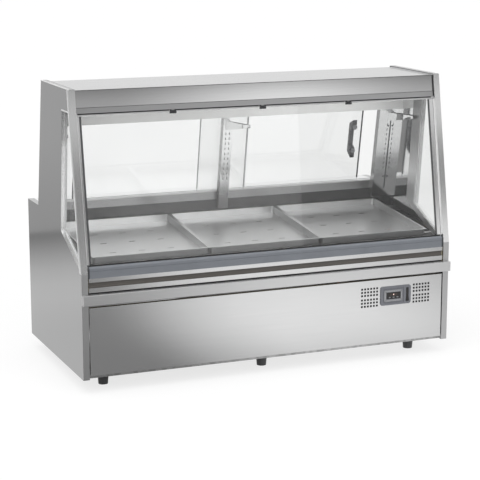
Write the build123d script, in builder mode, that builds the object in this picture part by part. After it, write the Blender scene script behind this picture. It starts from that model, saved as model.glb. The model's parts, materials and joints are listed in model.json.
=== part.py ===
from build123d import *
import math
import os

os.makedirs("parts", exist_ok=True)

# Case, in millimetres: X along the counter, -Y towards the customer, Z up from the floor
case_width = 1800.0
case_depth = 855.0
case_height = 1315.0
foot_height = 65.0
seam_height = 536.0  # top of the upright part of the front
top_setback = 136.0  # lean of the sloping front at the top
top_depth = 434.0
ledge_height = 726.0
ledge_depth = 182.0
end_thickness = 29.0
sheet = 1.2
running_gap = 0.3

# Front of the base, from the bottom up
front_panel_bottom = 82.0
front_panel_height = 303.0
panel_set = 2.0  # front sheets stand this far behind the end panels' edges
panel_side_gap = 4.5
bumper_gap = 15.0
bumper_height = 46.0
bumper_reach = 22.0
bumper_round = 3.0
bumper_wall = 1.5
apron_gap = 6.5
apron_height = 62.5
apron_band = 17.5  # strip above the groove
apron_strip = 21.0
groove_reach = 12.0
profile_height = 50.0
profile_lip = 5.0
profile_run = 40.0
profile_nose = 9.0
cap_length = 8.0
cap_stand = 1.0
profile_line = 0.62
line_depth = 1.5
line_width = 2.5

# Sloping glazed front, depths square to the slope
post_depth = 24.0
post_sheet = 1.5
flange_width = 10.0
flange_sheet = 2.0
glass = 6.0
glass_set = 14.0
glass_side_gap = 5.0
glass_corner = 6.0
seal_height = 5.0
seal_width = 6.0
fascia_set = 12.0
fascia_height = 75.0
rail_height = 24.0
rail_depth = 30.0
rail_wall = 2.0
fascia_return = 15.0
canopy_drop = 6.0
skirt_set = 1.0
pivot_drop = 5.5
edge_drop = 4.5
hinge_spacing = 428.0
hinge_count = 3
knuckle_radius = 3.0
pin_radius = 1.5
pin_clearance = 0.3
clamp_width = 30.0
clamp_grip = 8.0
jaw = 1.5
clamp_bridge = 1.0
lug_width = 7.0
plate_length = 20.0
plate_gauge = 1.0
seal_bar = 1.2
seal_blade = 2.0
seal_overlap = 2.0

# Side windows in the end panels
window_sill_front = 551.0
window_sill_rear = 673.0
window_head_drop = 98.0
window_rear_low = 302.0
window_rear_high = 242.0
window_seal = 4.0
side_glass_set = 5.0
seal_grip = 2.0

# Insulated tub and display deck
tub_front = 16.0
tub_bottom = 425.0
tub_wall_front = 80.0
tub_rear_top = 698.0
tub_floor_high = 487.0
tub_floor_low = 474.0
tub_channel = 100.0
pan_front = 85.0
pan_rear_gap = 13.0
pan_sink = 3.0
pan_height = 33.0
pan_lean = 6.0
pan_count = 3
pan_gap = 1.0
pan_end_gap = 46.0
pan_rim = 7.0
pan_corner = 9.0
pan_slot = 30.0
pan_slot_width = 6.0
pan_slot_count = 3
bearer_height = 22.0
bearer_inset = 40.0

# Service side: frame, doors and ledge, depths square to the leaning rear
door_glass = 5.0
door_lap = 24.5  # a closed door passes the middle by this much
door_ajar = 95.5  # both doors stand open by this much
track_wall = 3.0
track_slot = 7.0
track_middle = 12.0
track_cut = 20.0
track_entry = 14.0
head_drop = 195.0
head_rail_height = 42.0
foot_rail_top = 745.0
upright_width = 65.0
centre_post_width = 48.0
post_tube = 32.0
post_wall = 2.0
slot_pitch = 25.0
slot_height = 12.0
slot_width = 4.0
slot_spread = 18.0
slot_end = 16.0  # slot row of a side upright, from the end liner
slot_count = 12
post_foot_gap = 8.0
arm_length = 250.0
arm_root = 42.0
arm_tip = 15.0
arm_sheet = 3.0
arm_climb = 0.09
bracket_drop = 58.0
hook_tall = 9.0
hook_reach = 7.0
hook_drop = 5.0
handle_length = 195.0
handle_reach = 38.0
handle_width = 24.0
handle_bar = 13.0
bow_slope = 24.0
bow_pad = 12.0
bow_round = 20.0
bow_edge = 4.0
handle_screws = 122.0
handle_edge = 40.0
handle_lift = 22.5
pull_width = 22.0
pull_height = 6.0
pull_length = 180.0
pull_edge = 1.0
pull_corner = 6.0
pull_taper = 20.0

# Canopy inside
lamp_box_depth = 112.0
ceiling_rise = 5.0
skirt_short = 12.0
lamp_end_gap = 121.0
lamp_width = 60.0
lamp_height = 22.0
lamp_inset = 90.0
lamp_round = 9.0

# Control housing and vents in the front panel
control_end = 249.2
control_height = 304.5
control_width = 160.0
control_tall = 91.0
control_flange = 5.0
control_lip = 5.0
control_corner = 12.0
control_taper = 12.0
control_box_depth = 34.0
bezel_width = 108.0
bezel_tall = 71.0
bezel_shift = -11.8
bezel_sink = 3.0
thermostat_width = 74.0
thermostat_tall = 31.0
thermostat_depth = 50.0
face_lip = 2.0
face_gauge = 2.0
display_width = 44.0
display_tall = 14.0
display_rise = 5.0
key_width = 9.0
key_tall = 5.0
key_pitch = 20.0
key_drop = 8.5
key_round = 0.8
key_travel = 0.8
key_stand = 1.2
key_depth = 6.0
rocker_shift = 60.2
rocker_width = 14.0
rocker_tall = 66.0
rocker_half = 31.0
rocker_waist = 3.0
rocker_crest = 6.5
rocker_sink = 4.5
rocker_pocket = 18.0
rocker_tilt = 6.0
pin_reach = 2.5
rocker_pin = 2.0
vent_shift = 135.6
vent_bank = 25.8
vent_pitch = 15.6
vent_hole = 9.5
vent_column_count = 6
vent_row_count = 3

# Base frame and feet
channel = 40.0
channel_wall = 2.0
frame_inset = 24.0
weld_gap = 0.3
foot_end = 103.0
foot_inset = 140.0
foot_radius = 22.0
foot_pad = 38.0
foot_taper = 4.0
foot_sides = 12
stem_radius = 6.0
stem_clearance = 0.3
stem_sides = 8
boss_radius = 13.0
nut_height = 9.0
neck_radius = 9.0

# Condensing unit
unit_end_gap = 41.0
unit_width = 400.0
unit_length = 470.0
unit_tail = 120.0
unit_fold = 12.0
condenser_width = 340.0
condenser_tall = 250.0
condenser_depth = 60.0
fin = 1.2
fin_count = 12
tube_radius = 5.0
tube_sides = 6
tube_row_count = 2
tube_column_count = 2
shroud_depth = 45.0
collar_depth = 28.0
fan_radius = 108.0
fan_clearance = 7.0
hub_radius = 28.0
hub_depth = 24.0
blade_count = 5
blade_gauge = 2.0
blade_root = 22.0
blade_tip = 99.0
root_chord = 30.0
tip_chord = 66.0
blade_pitch = 22.0
blade_round = 10.0
shaft_radius = 4.0
shaft_clearance = 0.3
motor_radius = 45.0
motor_length = 70.0
motor_foot = 4.0
motor_gap = 8.0
motor_bore = 42.0
compressor_radius = 88.0
compressor_height = 180.0
compressor_shift = 55.0
can_dome = 42.0
can_lap = 3.0
plate_thick = 4.0
grommet_height = 12.0
grommet_radius = 11.0
grommet_sides = 8
grommet_pitch = 144.0
stub_shift = 28.0
stub_radius = 8.0
stub_rise = 18.0
box_shift = 125.0
box_width = 90.0
box_length = 120.0
box_height = 120.0
box_lid = 10.0
box_round = 6.0
coil_height = 44.0
coil_front = 170.0
coil_rear_gap = 83.0
coil_end_gap = 121.0
coil_fin_count = 12
coil_tube_count = 3
coil_lift = 14.0
drain_x = -300.0
drain_radius = 20.0
drain_wall = 2.5
drain_flange = 12.0
drain_lip = 3.0
drain_drop = 80.0
pipe_radius = 5.0
pipe_sides = 6
pipe_bend = 14.0
line_rise = 30.0
suction_end = 81.0
suction_inset = 40.0
liquid_end = 49.0
liquid_inset = 130.0
pipe_hole = 30.0

# Rear panel
rear_panel_top = 690.0
ledge_reveal = 4.0
louvre_width = 110.0
louvre_height = 7.0
louvre_pitch = 22.0
louvre_row_count = 9
louvre_column_count = 3

# Worked out from the sizes above
half_width = case_width / 2
inner_x = half_width - end_thickness
front_y = -(case_depth - bumper_reach) / 2
rear_y = front_y + case_depth
front_angle = math.atan2(top_setback, case_height - seam_height)
rear_run = case_depth - ledge_depth - top_setback - top_depth
rear_angle = math.atan2(rear_run, case_height - ledge_height)
front_sin, front_cos = math.sin(front_angle), math.cos(front_angle)
rear_sin, rear_cos = math.sin(rear_angle), math.cos(rear_angle)

bumper_bottom = front_panel_bottom + front_panel_height + bumper_gap
apron_bottom = bumper_bottom + bumper_height + apron_gap
profile_bottom = apron_bottom + apron_height
sill_height = profile_bottom + profile_height
lip_bottom = sill_height - profile_lip
sheet_face = front_y + panel_set
tub_face = front_y + tub_front
canopy_top = case_height - canopy_drop
window_head = case_height - window_head_drop
head_height = case_height - head_drop
bracket_height = head_height - bracket_drop
handle_height = (foot_rail_top + head_height) / 2 + handle_lift
track_back = skirt_set + sheet
track_front = track_back + 2 * track_wall + 2 * track_slot + track_middle
post_face = track_front + post_tube
foot_x = inner_x - foot_end
control_x = inner_x - control_end
unit_x = inner_x - unit_end_gap - unit_width / 2
suction_x = inner_x - suction_end
liquid_x = inner_x - liquid_end
coil_length = 2 * (inner_x - coil_end_gap)


# Height lines and depths on the two leaning faces
def front_at(z, depth=0.0):
    return front_y + (z - seam_height) * math.tan(front_angle) + depth / front_cos


def front_rise(z, depth=0.0):
    return (z - seam_height + depth * front_sin) / front_cos


def front_point(depth, rise):
    return (
        front_y + rise * front_sin + depth * front_cos,
        seam_height + rise * front_cos - depth * front_sin,
    )


def rear_at(z, depth=0.0):
    return rear_y - ledge_depth - (z - ledge_height) * math.tan(rear_angle) - depth / rear_cos


def rear_rise(z, depth=0.0):
    return (z - ledge_height + depth * rear_sin) / rear_cos


# The tub's rear wall, and what is placed from it
tub_rear_wall = rear_at(tub_rear_top, track_front)
tub_outer_rear = rear_at(tub_rear_top, track_back)
pan_rear = tub_rear_wall - pan_rear_gap
coil_rear = tub_rear_wall - coil_rear_gap
compressor_y = coil_rear - suction_inset
liquid_y = coil_rear - liquid_inset
unit_rear = compressor_y + unit_tail
unit_front = unit_rear - unit_length


# Section of a sheet folded along a path, thickened to the left of it
def folded(path, gauge):
    corners = [Vector(*point) for point in path]
    ways = [(end - start).normalized() for start, end in zip(corners, corners[1:])]
    back = []
    for n, corner in enumerate(corners):
        before = ways[max(n - 1, 0)]
        after = ways[min(n, len(ways) - 1)]
        across = Vector(-before.Y - after.Y, before.X + after.X)
        back.append(corner + across * (gauge / (1 + before.dot(after))))
    Polygon(*corners, *reversed(back))


# Planes of the sloping front and of the leaning rear
front_origin = (0, front_y, seam_height)
front_plane = Plane(front_origin, x_dir=(1, 0, 0), z_dir=(0, -front_cos, front_sin))
front_section = Plane(front_origin, x_dir=(0, front_cos, -front_sin), z_dir=(1, 0, 0))
rear_origin = (0, rear_y - ledge_depth, ledge_height)
rear_plane = Plane(rear_origin, x_dir=(1, 0, 0), z_dir=(0, -rear_cos, -rear_sin))

# Base frame: inverted channels welded end to side, with cross members over the feet
frame_mid = (front_y + rear_y) / 2
rail_shift = case_depth / 2 - frame_inset - channel / 2
bar_length = 2 * rail_shift - channel - 2 * weld_gap
bearer_length = foot_x - channel - 2 * weld_gap
bar_places = [-inner_x + channel / 2, -foot_x, 0, foot_x, inner_x - channel / 2]
foot_places = [(x, y) for x in (-foot_x, 0, foot_x) for y in (front_y + foot_inset, rear_y - foot_inset)]


def frame_plan(wall):
    with Locations((0, frame_mid - rail_shift), (0, frame_mid + rail_shift)):
        Rectangle(2 * inner_x, channel - 2 * wall)
    with Locations(*[(x, frame_mid) for x in bar_places]):
        Rectangle(channel - 2 * wall, bar_length)
    with Locations((foot_x / 2, unit_front + channel), (foot_x / 2, unit_rear - channel)):
        Rectangle(bearer_length, channel - 2 * wall)


with BuildPart() as base_frame:
    with BuildSketch(Plane.XY.offset(foot_height)):
        frame_plan(0)
    extrude(amount=channel)
    with BuildSketch(Plane.XY.offset(foot_height)):
        frame_plan(channel_wall)
    extrude(amount=channel - channel_wall, mode=Mode.SUBTRACT)
    with BuildSketch(Plane.XY.offset(foot_height)):
        with Locations(*foot_places):
            RegularPolygon(boss_radius, 6)
    extrude(amount=channel)
    with BuildSketch(Plane.XY.offset(foot_height)):
        with Locations(*foot_places):
            RegularPolygon(stem_radius + stem_clearance, stem_sides)
    extrude(amount=channel, mode=Mode.SUBTRACT)
base_frame.part.label = "base_frame"
export_step(base_frame.part, "parts/base_frame.step")

# Levelling feet: fluted grips on a stem, with a hexagon under the frame
stem_top = foot_height + channel - 2 * channel_wall
with BuildPart() as levelling_feet:
    with BuildSketch(Plane.XY):
        with Locations(*foot_places):
            RegularPolygon(foot_radius, foot_sides)
    extrude(amount=foot_pad, taper=-foot_taper)
    with BuildSketch(Plane.XY.offset(foot_pad)):
        with Locations(*foot_places):
            RegularPolygon(neck_radius, foot_sides)
    extrude(amount=foot_height - nut_height - foot_pad)
    with BuildSketch(Plane.XY.offset(foot_height - nut_height)):
        with Locations(*foot_places):
            RegularPolygon(boss_radius, 6)
    extrude(amount=nut_height)
    with BuildSketch(Plane.XY.offset(foot_height)):
        with Locations(*foot_places):
            RegularPolygon(stem_radius, stem_sides)
    extrude(amount=stem_top - foot_height)
levelling_feet.part.label = "levelling_feet"
export_step(levelling_feet.part, "parts/levelling_feet.step")

# End panels: outer tray with folded edges, foam filling and inner sheet
end_points = [
    (front_y, foot_height),
    (front_y, seam_height),
    (front_at(seam_height, post_depth), seam_height),
    (front_at(window_sill_front, post_depth), window_sill_front),
    (front_y + window_rear_low, window_sill_rear),
    (front_y + window_rear_high, window_head),
    (front_at(window_head, post_depth), window_head),
    (front_at(case_height, post_depth), case_height),
    (rear_at(case_height), case_height),
    (rear_at(ledge_height), ledge_height),
    (rear_y, ledge_height),
    (rear_y, foot_height),
]


def end_filling():
    Polygon(*end_points)
    offset(amount=-sheet, kind=Kind.INTERSECTION, mode=Mode.REPLACE)


for hand, way in (("left", -1), ("right", 1)):
    with BuildPart() as end_panel:
        with BuildSketch(Plane.YZ.offset(way * half_width)):
            Polygon(*end_points)
        extrude(amount=-way * end_thickness)
        with BuildSketch(Plane.YZ.offset(way * (half_width - sheet))):
            end_filling()
        extrude(amount=-way * (end_thickness - sheet), mode=Mode.SUBTRACT)
    end_panel.part.label = f"end_panel_{hand}"
    export_step(end_panel.part, f"parts/end_panel_{hand}.step")

    with BuildPart() as end_liner:
        with BuildSketch(Plane.YZ.offset(way * inner_x)):
            end_filling()
        extrude(amount=way * sheet)
    end_liner.part.label = f"end_liner_{hand}"
    export_step(end_liner.part, f"parts/end_liner_{hand}.step")

with BuildPart() as end_insulation:
    for way in (-1, 1):
        with BuildSketch(Plane.YZ.offset(way * (inner_x + sheet))):
            end_filling()
        extrude(amount=way * (end_thickness - 2 * sheet))
end_insulation.part.label = "end_insulation"
export_step(end_insulation.part, "parts/end_insulation.step")

# Front posts: slanted box trims with an inner flange that the glass closes on
rise_canopy = front_rise(canopy_top, fascia_set)
rise_fascia = rise_canopy - fascia_height
rise_rail = rise_fascia - rail_height
rise_pivot = rise_rail - pivot_drop
rise_glass_top = rise_pivot - edge_drop
flange_front = post_depth - flange_sheet


def post_section(wall):
    Polygon(
        (front_at(seam_height, wall), seam_height),
        (front_at(case_height - wall, wall), case_height - wall),
        (front_at(case_height - wall, post_depth - wall), case_height - wall),
        (front_at(seam_height, post_depth - wall), seam_height),
    )


for hand, way in (("left", -1), ("right", 1)):
    with BuildPart() as front_post:
        with BuildSketch(Plane.YZ.offset(way * half_width)):
            post_section(0)
        extrude(amount=-way * end_thickness)
        with BuildSketch(Plane.YZ.offset(way * (half_width - post_sheet))):
            post_section(post_sheet)
        extrude(amount=-way * (end_thickness - 2 * post_sheet), mode=Mode.SUBTRACT)
        with BuildSketch(front_section.offset(way * inner_x)):
            Polygon(
                (flange_front, front_rise(sill_height, flange_front)),
                (flange_front, rise_rail),
                (post_depth, rise_rail),
                (post_depth, front_rise(sill_height, post_depth)),
            )
        extrude(amount=-way * flange_width)
    front_post.part.label = f"front_post_{hand}"
    export_step(front_post.part, f"parts/front_post_{hand}.step")

# Side windows: a pane in each end panel, held by a rubber frame in the reveal
window_points = [
    (front_at(window_sill_front, post_depth), window_sill_front),
    (front_y + window_rear_low, window_sill_rear),
    (front_y + window_rear_high, window_head),
    (front_at(window_head, post_depth), window_head),
]


def window_pane():
    Polygon(*window_points)
    offset(amount=-window_seal, kind=Kind.INTERSECTION, mode=Mode.REPLACE)


for hand, way in (("left", -1), ("right", 1)):
    with BuildPart() as side_glass:
        with BuildSketch(Plane.YZ.offset(way * (inner_x + side_glass_set))):
            window_pane()
        extrude(amount=way * glass)
    side_glass.part.label = f"side_glass_{hand}"
    export_step(side_glass.part, f"parts/side_glass_{hand}.step")

with BuildPart() as side_glass_seals:
    for way in (-1, 1):
        near_face = Plane.YZ.offset(way * (inner_x + side_glass_set - seal_grip))
        with BuildSketch(near_face):
            Polygon(*window_points)
        extrude(amount=way * (glass + 2 * seal_grip))
        with BuildSketch(near_face):
            window_pane()
        extrude(amount=way * (glass + 2 * seal_grip), mode=Mode.SUBTRACT)
side_glass_seals.part.label = "side_glass_seals"
export_step(side_glass_seals.part, "parts/side_glass_seals.step")

# Front profile: moulded strip with a round nose and a lip under the glass
with BuildPart() as front_profile:
    with BuildSketch(Plane.YZ) as profile_face:
        Polygon(
            (sheet_face, profile_bottom),
            (sheet_face, sill_height),
            (front_y + profile_run, sill_height),
            (front_y + profile_run, lip_bottom),
            (tub_face, lip_bottom),
            (tub_face, profile_bottom),
        )
        fillet(profile_face.vertices().group_by(Axis.Y)[-1].sort_by(Axis.X)[0], radius=profile_nose)
        with Locations((sheet_face, profile_bottom + profile_line * profile_height)):
            Rectangle(2 * line_depth, line_width, mode=Mode.SUBTRACT)
    extrude(amount=inner_x - cap_length - running_gap, both=True)
front_profile.part.label = "front_profile"
export_step(front_profile.part, "parts/front_profile.step")

with BuildPart() as profile_end_caps:
    for way in (-1, 1):
        with BuildSketch(Plane.YZ.offset(way * (inner_x - running_gap))) as cap_face:
            Polygon(
                (sheet_face - cap_stand, profile_bottom),
                (sheet_face - cap_stand, sill_height),
                (tub_face, sill_height),
                (tub_face, profile_bottom),
            )
            fillet(cap_face.vertices().group_by(Axis.Y)[-1].sort_by(Axis.X)[0], radius=profile_nose)
        extrude(amount=-way * cap_length)
profile_end_caps.part.label = "profile_end_caps"
export_step(profile_end_caps.part, "parts/profile_end_caps.step")

# Apron: folded sheet with a shadow groove between two strips, closed down to the bumper
bumper_top = bumper_bottom + bumper_height
groove_face = sheet_face + groove_reach
groove_top = profile_bottom - apron_band
groove_bottom = apron_bottom + apron_strip
apron_path = [
    (tub_face, profile_bottom),
    (sheet_face, profile_bottom),
    (sheet_face, groove_top),
    (groove_face, groove_top),
    (groove_face, groove_bottom),
    (sheet_face, groove_bottom),
    (sheet_face, apron_bottom),
    (tub_face - sheet, apron_bottom),
    (tub_face - sheet, bumper_top),
]
with BuildPart() as front_apron:
    with BuildSketch(Plane.YZ):
        folded(apron_path, sheet)
    extrude(amount=inner_x - panel_side_gap, both=True)
front_apron.part.label = "front_apron"
export_step(front_apron.part, "parts/front_apron.step")

# Bumper rail: folded box across the whole front, its flanges reaching back to the tub
with BuildPart() as bumper_rail:
    with Locations((0, front_y - bumper_reach / 2, (bumper_bottom + bumper_top) / 2)):
        Box(case_width, bumper_reach, bumper_height)
    fillet(bumper_rail.faces().sort_by(Axis.Y)[0].edges(), radius=bumper_round)
    offset(amount=-bumper_wall, openings=bumper_rail.faces().sort_by(Axis.Y)[-1])
    with BuildSketch(Plane.YZ):
        with Locations(
            (front_y + tub_front / 2, bumper_bottom + bumper_wall / 2),
            (front_y + tub_front / 2, bumper_top - bumper_wall / 2),
        ):
            Rectangle(tub_front, bumper_wall)
    extrude(amount=inner_x - panel_side_gap, both=True)
bumper_rail.part.label = "bumper_rail"
export_step(bumper_rail.part, "parts/bumper_rail.step")

# Front panel: lift-off tray with the control opening and four vent grids
panel_fold = frame_inset - panel_set
control_plane = Plane((control_x, sheet_face, control_height), x_dir=(1, 0, 0), z_dir=(0, -1, 0))
with BuildPart() as front_panel:
    with Locations((0, sheet_face + panel_fold / 2, front_panel_bottom + front_panel_height / 2)):
        Box(2 * (inner_x - panel_side_gap), panel_fold, front_panel_height)
    offset(amount=-sheet, openings=front_panel.faces().sort_by(Axis.Y)[-1])
    with BuildSketch(control_plane):
        Rectangle(control_width - 2 * control_lip, control_tall - 2 * control_lip)
        for side in (-1, 1):
            for bank in (-1, 1):
                with Locations((side * vent_shift, bank * vent_bank)):
                    with GridLocations(vent_pitch, vent_pitch, vent_column_count, vent_row_count):
                        Rectangle(vent_hole, vent_hole)
    extrude(amount=-2 * sheet, mode=Mode.SUBTRACT)
front_panel.part.label = "front_panel"
export_step(front_panel.part, "parts/front_panel.step")

# Sloping front glass, hung from three hinges under the upper rail
glass_rear = glass_set + glass
glass_low = front_rise(sill_height + seal_height + running_gap, glass_rear)
glass_half = inner_x - glass_side_gap
with BuildPart() as front_glass:
    with BuildSketch(front_plane.offset(-glass_set)):
        with Locations((0, (glass_low + rise_glass_top) / 2)):
            RectangleRounded(2 * glass_half, rise_glass_top - glass_low, glass_corner)
    extrude(amount=-glass)
front_glass.part.label = "front_glass"
export_step(front_glass.part, "parts/front_glass.step")

# Upper glass rail: hollow extrusion under the fascia
with BuildPart() as upper_glass_rail:
    with BuildSketch(front_section):
        with Locations((fascia_set + rail_depth / 2, rise_rail + rail_height / 2)):
            Rectangle(rail_depth, rail_height)
            Rectangle(rail_depth - 2 * rail_wall, rail_height - 2 * rail_wall, mode=Mode.SUBTRACT)
    extrude(amount=inner_x, both=True)
upper_glass_rail.part.label = "upper_glass_rail"
export_step(upper_glass_rail.part, "parts/upper_glass_rail.step")

# Glass hinges: lugs under the rail, pins, and jaws that grip the pane
pivot_depth = glass_set + glass / 2
hinge_places = [(n - (hinge_count - 1) / 2) * hinge_spacing for n in range(hinge_count)]
knuckle_width = clamp_width - 2 * lug_width - 2 * running_gap
lug_shift = (knuckle_width + lug_width) / 2 + running_gap
with BuildPart() as hinge_brackets:
    for x in hinge_places:
        for side in (-1, 1):
            with BuildSketch(front_section.offset(x + side * lug_shift)):
                with Locations((pivot_depth, rise_pivot)):
                    Circle(knuckle_radius)
                with Locations((pivot_depth, (rise_pivot + rise_rail) / 2)):
                    Rectangle(2 * knuckle_radius, rise_rail - rise_pivot)
                with Locations((pivot_depth, rise_pivot)):
                    Circle(pin_radius + pin_clearance, mode=Mode.SUBTRACT)
            extrude(amount=lug_width / 2, both=True)
        with BuildSketch(front_section.offset(x)):
            with Locations((pivot_depth + plate_length / 2 - knuckle_radius, rise_rail - plate_gauge / 2)):
                Rectangle(plate_length, plate_gauge)
        extrude(amount=clamp_width / 2, both=True)
hinge_brackets.part.label = "hinge_brackets"
export_step(hinge_brackets.part, "parts/hinge_brackets.step")

with BuildPart() as hinge_pins:
    for x in hinge_places:
        with BuildSketch(front_section.offset(x)):
            with Locations((pivot_depth, rise_pivot)):
                Circle(pin_radius)
        extrude(amount=clamp_width / 2, both=True)
hinge_pins.part.label = "hinge_pins"
export_step(hinge_pins.part, "parts/hinge_pins.step")

with BuildPart() as hinge_clamps:
    for x in hinge_places:
        with BuildSketch(front_section.offset(x)):
            with Locations((pivot_depth, rise_glass_top - clamp_grip / 2 + clamp_bridge / 2)):
                Rectangle(glass + 2 * jaw, clamp_grip + clamp_bridge)
            with Locations((pivot_depth, rise_glass_top - clamp_grip / 2)):
                Rectangle(glass, clamp_grip, mode=Mode.SUBTRACT)
        extrude(amount=clamp_width / 2, both=True)
        with BuildSketch(front_section.offset(x)):
            with Locations((pivot_depth, rise_pivot)):
                Circle(knuckle_radius)
            with Locations((pivot_depth, (rise_pivot + rise_glass_top) / 2)):
                Rectangle(2 * knuckle_radius, edge_drop)
            with Locations((pivot_depth, rise_pivot)):
                Circle(pin_radius + pin_clearance, mode=Mode.SUBTRACT)
        extrude(amount=knuckle_width / 2, both=True)
hinge_clamps.part.label = "hinge_clamps"
export_step(hinge_clamps.part, "parts/hinge_clamps.step")

# Glass seals: sill strip, two side strips, and a notched strip under the rail
blade_depth = glass_rear + seal_blade / 2
with BuildPart() as front_glass_seals:
    with BuildSketch(Plane.YZ):
        Polygon(
            (front_at(sill_height, glass_set - seal_blade), sill_height),
            (front_at(sill_height, glass_rear + seal_blade), sill_height),
            (front_at(sill_height + seal_height, glass_rear + seal_blade), sill_height + seal_height),
            (front_at(sill_height + seal_height, glass_set - seal_blade), sill_height + seal_height),
        )
    extrude(amount=inner_x - flange_width - running_gap, both=True)
    for way in (-1, 1):
        with BuildSketch(front_plane.offset(-flange_front)):
            with Locations((way * (inner_x - flange_width + seal_width / 2), (glass_low + rise_glass_top) / 2)):
                Rectangle(seal_width, rise_glass_top - glass_low)
        extrude(amount=flange_front - glass_rear - running_gap)
    with BuildSketch(front_section):
        with Locations((pivot_depth, rise_rail - seal_bar / 2)):
            Rectangle(glass + 2 * seal_blade, seal_bar)
        with Locations((blade_depth + running_gap, (rise_rail + rise_glass_top - seal_overlap) / 2)):
            Rectangle(seal_blade, rise_rail - rise_glass_top + seal_overlap)
    extrude(amount=inner_x - flange_width - running_gap, both=True)
    with BuildSketch(front_plane):
        with Locations(*[(x, rise_rail - clamp_grip) for x in hinge_places]):
            Rectangle(clamp_width + 2 * jaw, 2 * clamp_grip)
    extrude(amount=-post_depth - jaw, mode=Mode.SUBTRACT)
front_glass_seals.part.label = "front_glass_seals"
export_step(front_glass_seals.part, "parts/front_glass_seals.step")

# Canopy: folded top sheet with the fascia, and the ceiling panel under it
skirt_bottom = head_height + head_rail_height - skirt_short
with BuildPart() as canopy_top_sheet:
    with BuildSketch(Plane.YZ):
        folded(
            [
                front_point(fascia_set + fascia_return, rise_fascia),
                front_point(fascia_set, rise_fascia),
                front_point(fascia_set, rise_canopy),
                (rear_at(canopy_top, skirt_set), canopy_top),
                (rear_at(skirt_bottom, skirt_set), skirt_bottom),
            ],
            -sheet,
        )
    extrude(amount=inner_x - running_gap, both=True)
canopy_top_sheet.part.label = "canopy_top"
export_step(canopy_top_sheet.part, "parts/canopy_top.step")

rail_rear_y, rail_rear_z = front_point(fascia_set + rail_depth, rise_fascia)
ceiling_height = rail_rear_z + ceiling_rise
with BuildPart() as canopy_ceiling:
    with BuildSketch(Plane.YZ):
        Polygon(
            (rail_rear_y + sheet, ceiling_height),
            (rear_at(ceiling_height, track_back), ceiling_height),
            (rear_at(ceiling_height + sheet, track_back), ceiling_height + sheet),
            (rail_rear_y + sheet, ceiling_height + sheet),
        )
    extrude(amount=inner_x, both=True)
canopy_ceiling.part.label = "canopy_ceiling"
export_step(canopy_ceiling.part, "parts/canopy_ceiling.step")

# Lamp housing: the lit box above the service opening, and the lamp bar beside it
lamp_box_front = rear_at(head_height, post_face) - lamp_box_depth
with BuildPart() as lamp_housing:
    with BuildSketch(Plane.YZ):
        folded(
            [
                (lamp_box_front, ceiling_height),
                (lamp_box_front, head_height),
                (rear_at(head_height, track_front), head_height),
                (rear_at(ceiling_height, track_front), ceiling_height),
            ],
            sheet,
        )
    extrude(amount=inner_x, both=True)
lamp_housing.part.label = "lamp_housing"
export_step(lamp_housing.part, "parts/lamp_housing.step")

with BuildPart() as lamp_diffuser:
    with BuildSketch(Plane.YZ) as lamp_section:
        with Locations((lamp_box_front - lamp_inset, ceiling_height - lamp_height / 2)):
            Rectangle(lamp_width, lamp_height)
        fillet(lamp_section.vertices().group_by(Axis.Y)[0], radius=lamp_round)
    extrude(amount=inner_x - lamp_end_gap, both=True)
lamp_diffuser.part.label = "lamp_diffuser"
export_step(lamp_diffuser.part, "parts/lamp_diffuser.step")

# Tub: pressed liner on foam, falling to a drain channel
drain_y = (front_y + tub_wall_front + tub_rear_wall) / 2
tub_path = [
    (tub_face, lip_bottom),
    (front_y + tub_wall_front, lip_bottom),
    (front_y + tub_wall_front, tub_floor_high),
    (drain_y - tub_channel / 2, tub_floor_low),
    (drain_y + tub_channel / 2, tub_floor_low),
    (tub_rear_wall, tub_floor_high),
    (tub_rear_wall, tub_rear_top),
    (tub_outer_rear, tub_rear_top),
]
pipe_places = [(suction_x, compressor_y), (liquid_x, liquid_y)]


def hole_plan():
    with Locations((drain_x, drain_y)):
        Circle(drain_radius + running_gap)
    with Locations(*pipe_places):
        Circle(pipe_hole / 2)


with BuildPart() as tub_liner:
    with BuildSketch(Plane.YZ):
        folded(tub_path, -sheet)
    extrude(amount=inner_x, both=True)
    with BuildSketch(Plane.XY.offset(tub_bottom)):
        hole_plan()
    extrude(amount=tub_floor_high - tub_bottom, mode=Mode.SUBTRACT)
tub_liner.part.label = "tub_liner"
export_step(tub_liner.part, "parts/tub_liner.step")

with BuildPart() as tub_insulation:
    with BuildSketch(Plane.YZ):
        Polygon(*tub_path, (tub_outer_rear, tub_bottom), (tub_face, tub_bottom))
    extrude(amount=inner_x, both=True)
    with BuildSketch(Plane.YZ):
        folded(tub_path, -sheet)
    extrude(amount=inner_x, both=True, mode=Mode.SUBTRACT)
    with BuildSketch(Plane.XY.offset(tub_bottom)):
        hole_plan()
    extrude(amount=tub_floor_high - tub_bottom, mode=Mode.SUBTRACT)
tub_insulation.part.label = "tub_insulation"
export_step(tub_insulation.part, "parts/tub_insulation.step")

with BuildPart() as drain_outlet:
    with BuildSketch(Plane.XY.offset(tub_floor_low)):
        with Locations((drain_x, drain_y)):
            Circle(drain_radius + drain_flange)
    extrude(amount=drain_lip)
    with BuildSketch(Plane.XY.offset(tub_floor_low)):
        with Locations((drain_x, drain_y)):
            Circle(drain_radius)
    extrude(amount=-drain_drop)
    with BuildSketch(Plane.XY.offset(tub_floor_low + drain_lip)):
        with Locations((drain_x, drain_y)):
            Circle(drain_radius - drain_wall)
    extrude(amount=-drain_drop - drain_lip, mode=Mode.SUBTRACT)
drain_outlet.part.label = "drain_outlet"
export_step(drain_outlet.part, "parts/drain_outlet.step")

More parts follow.
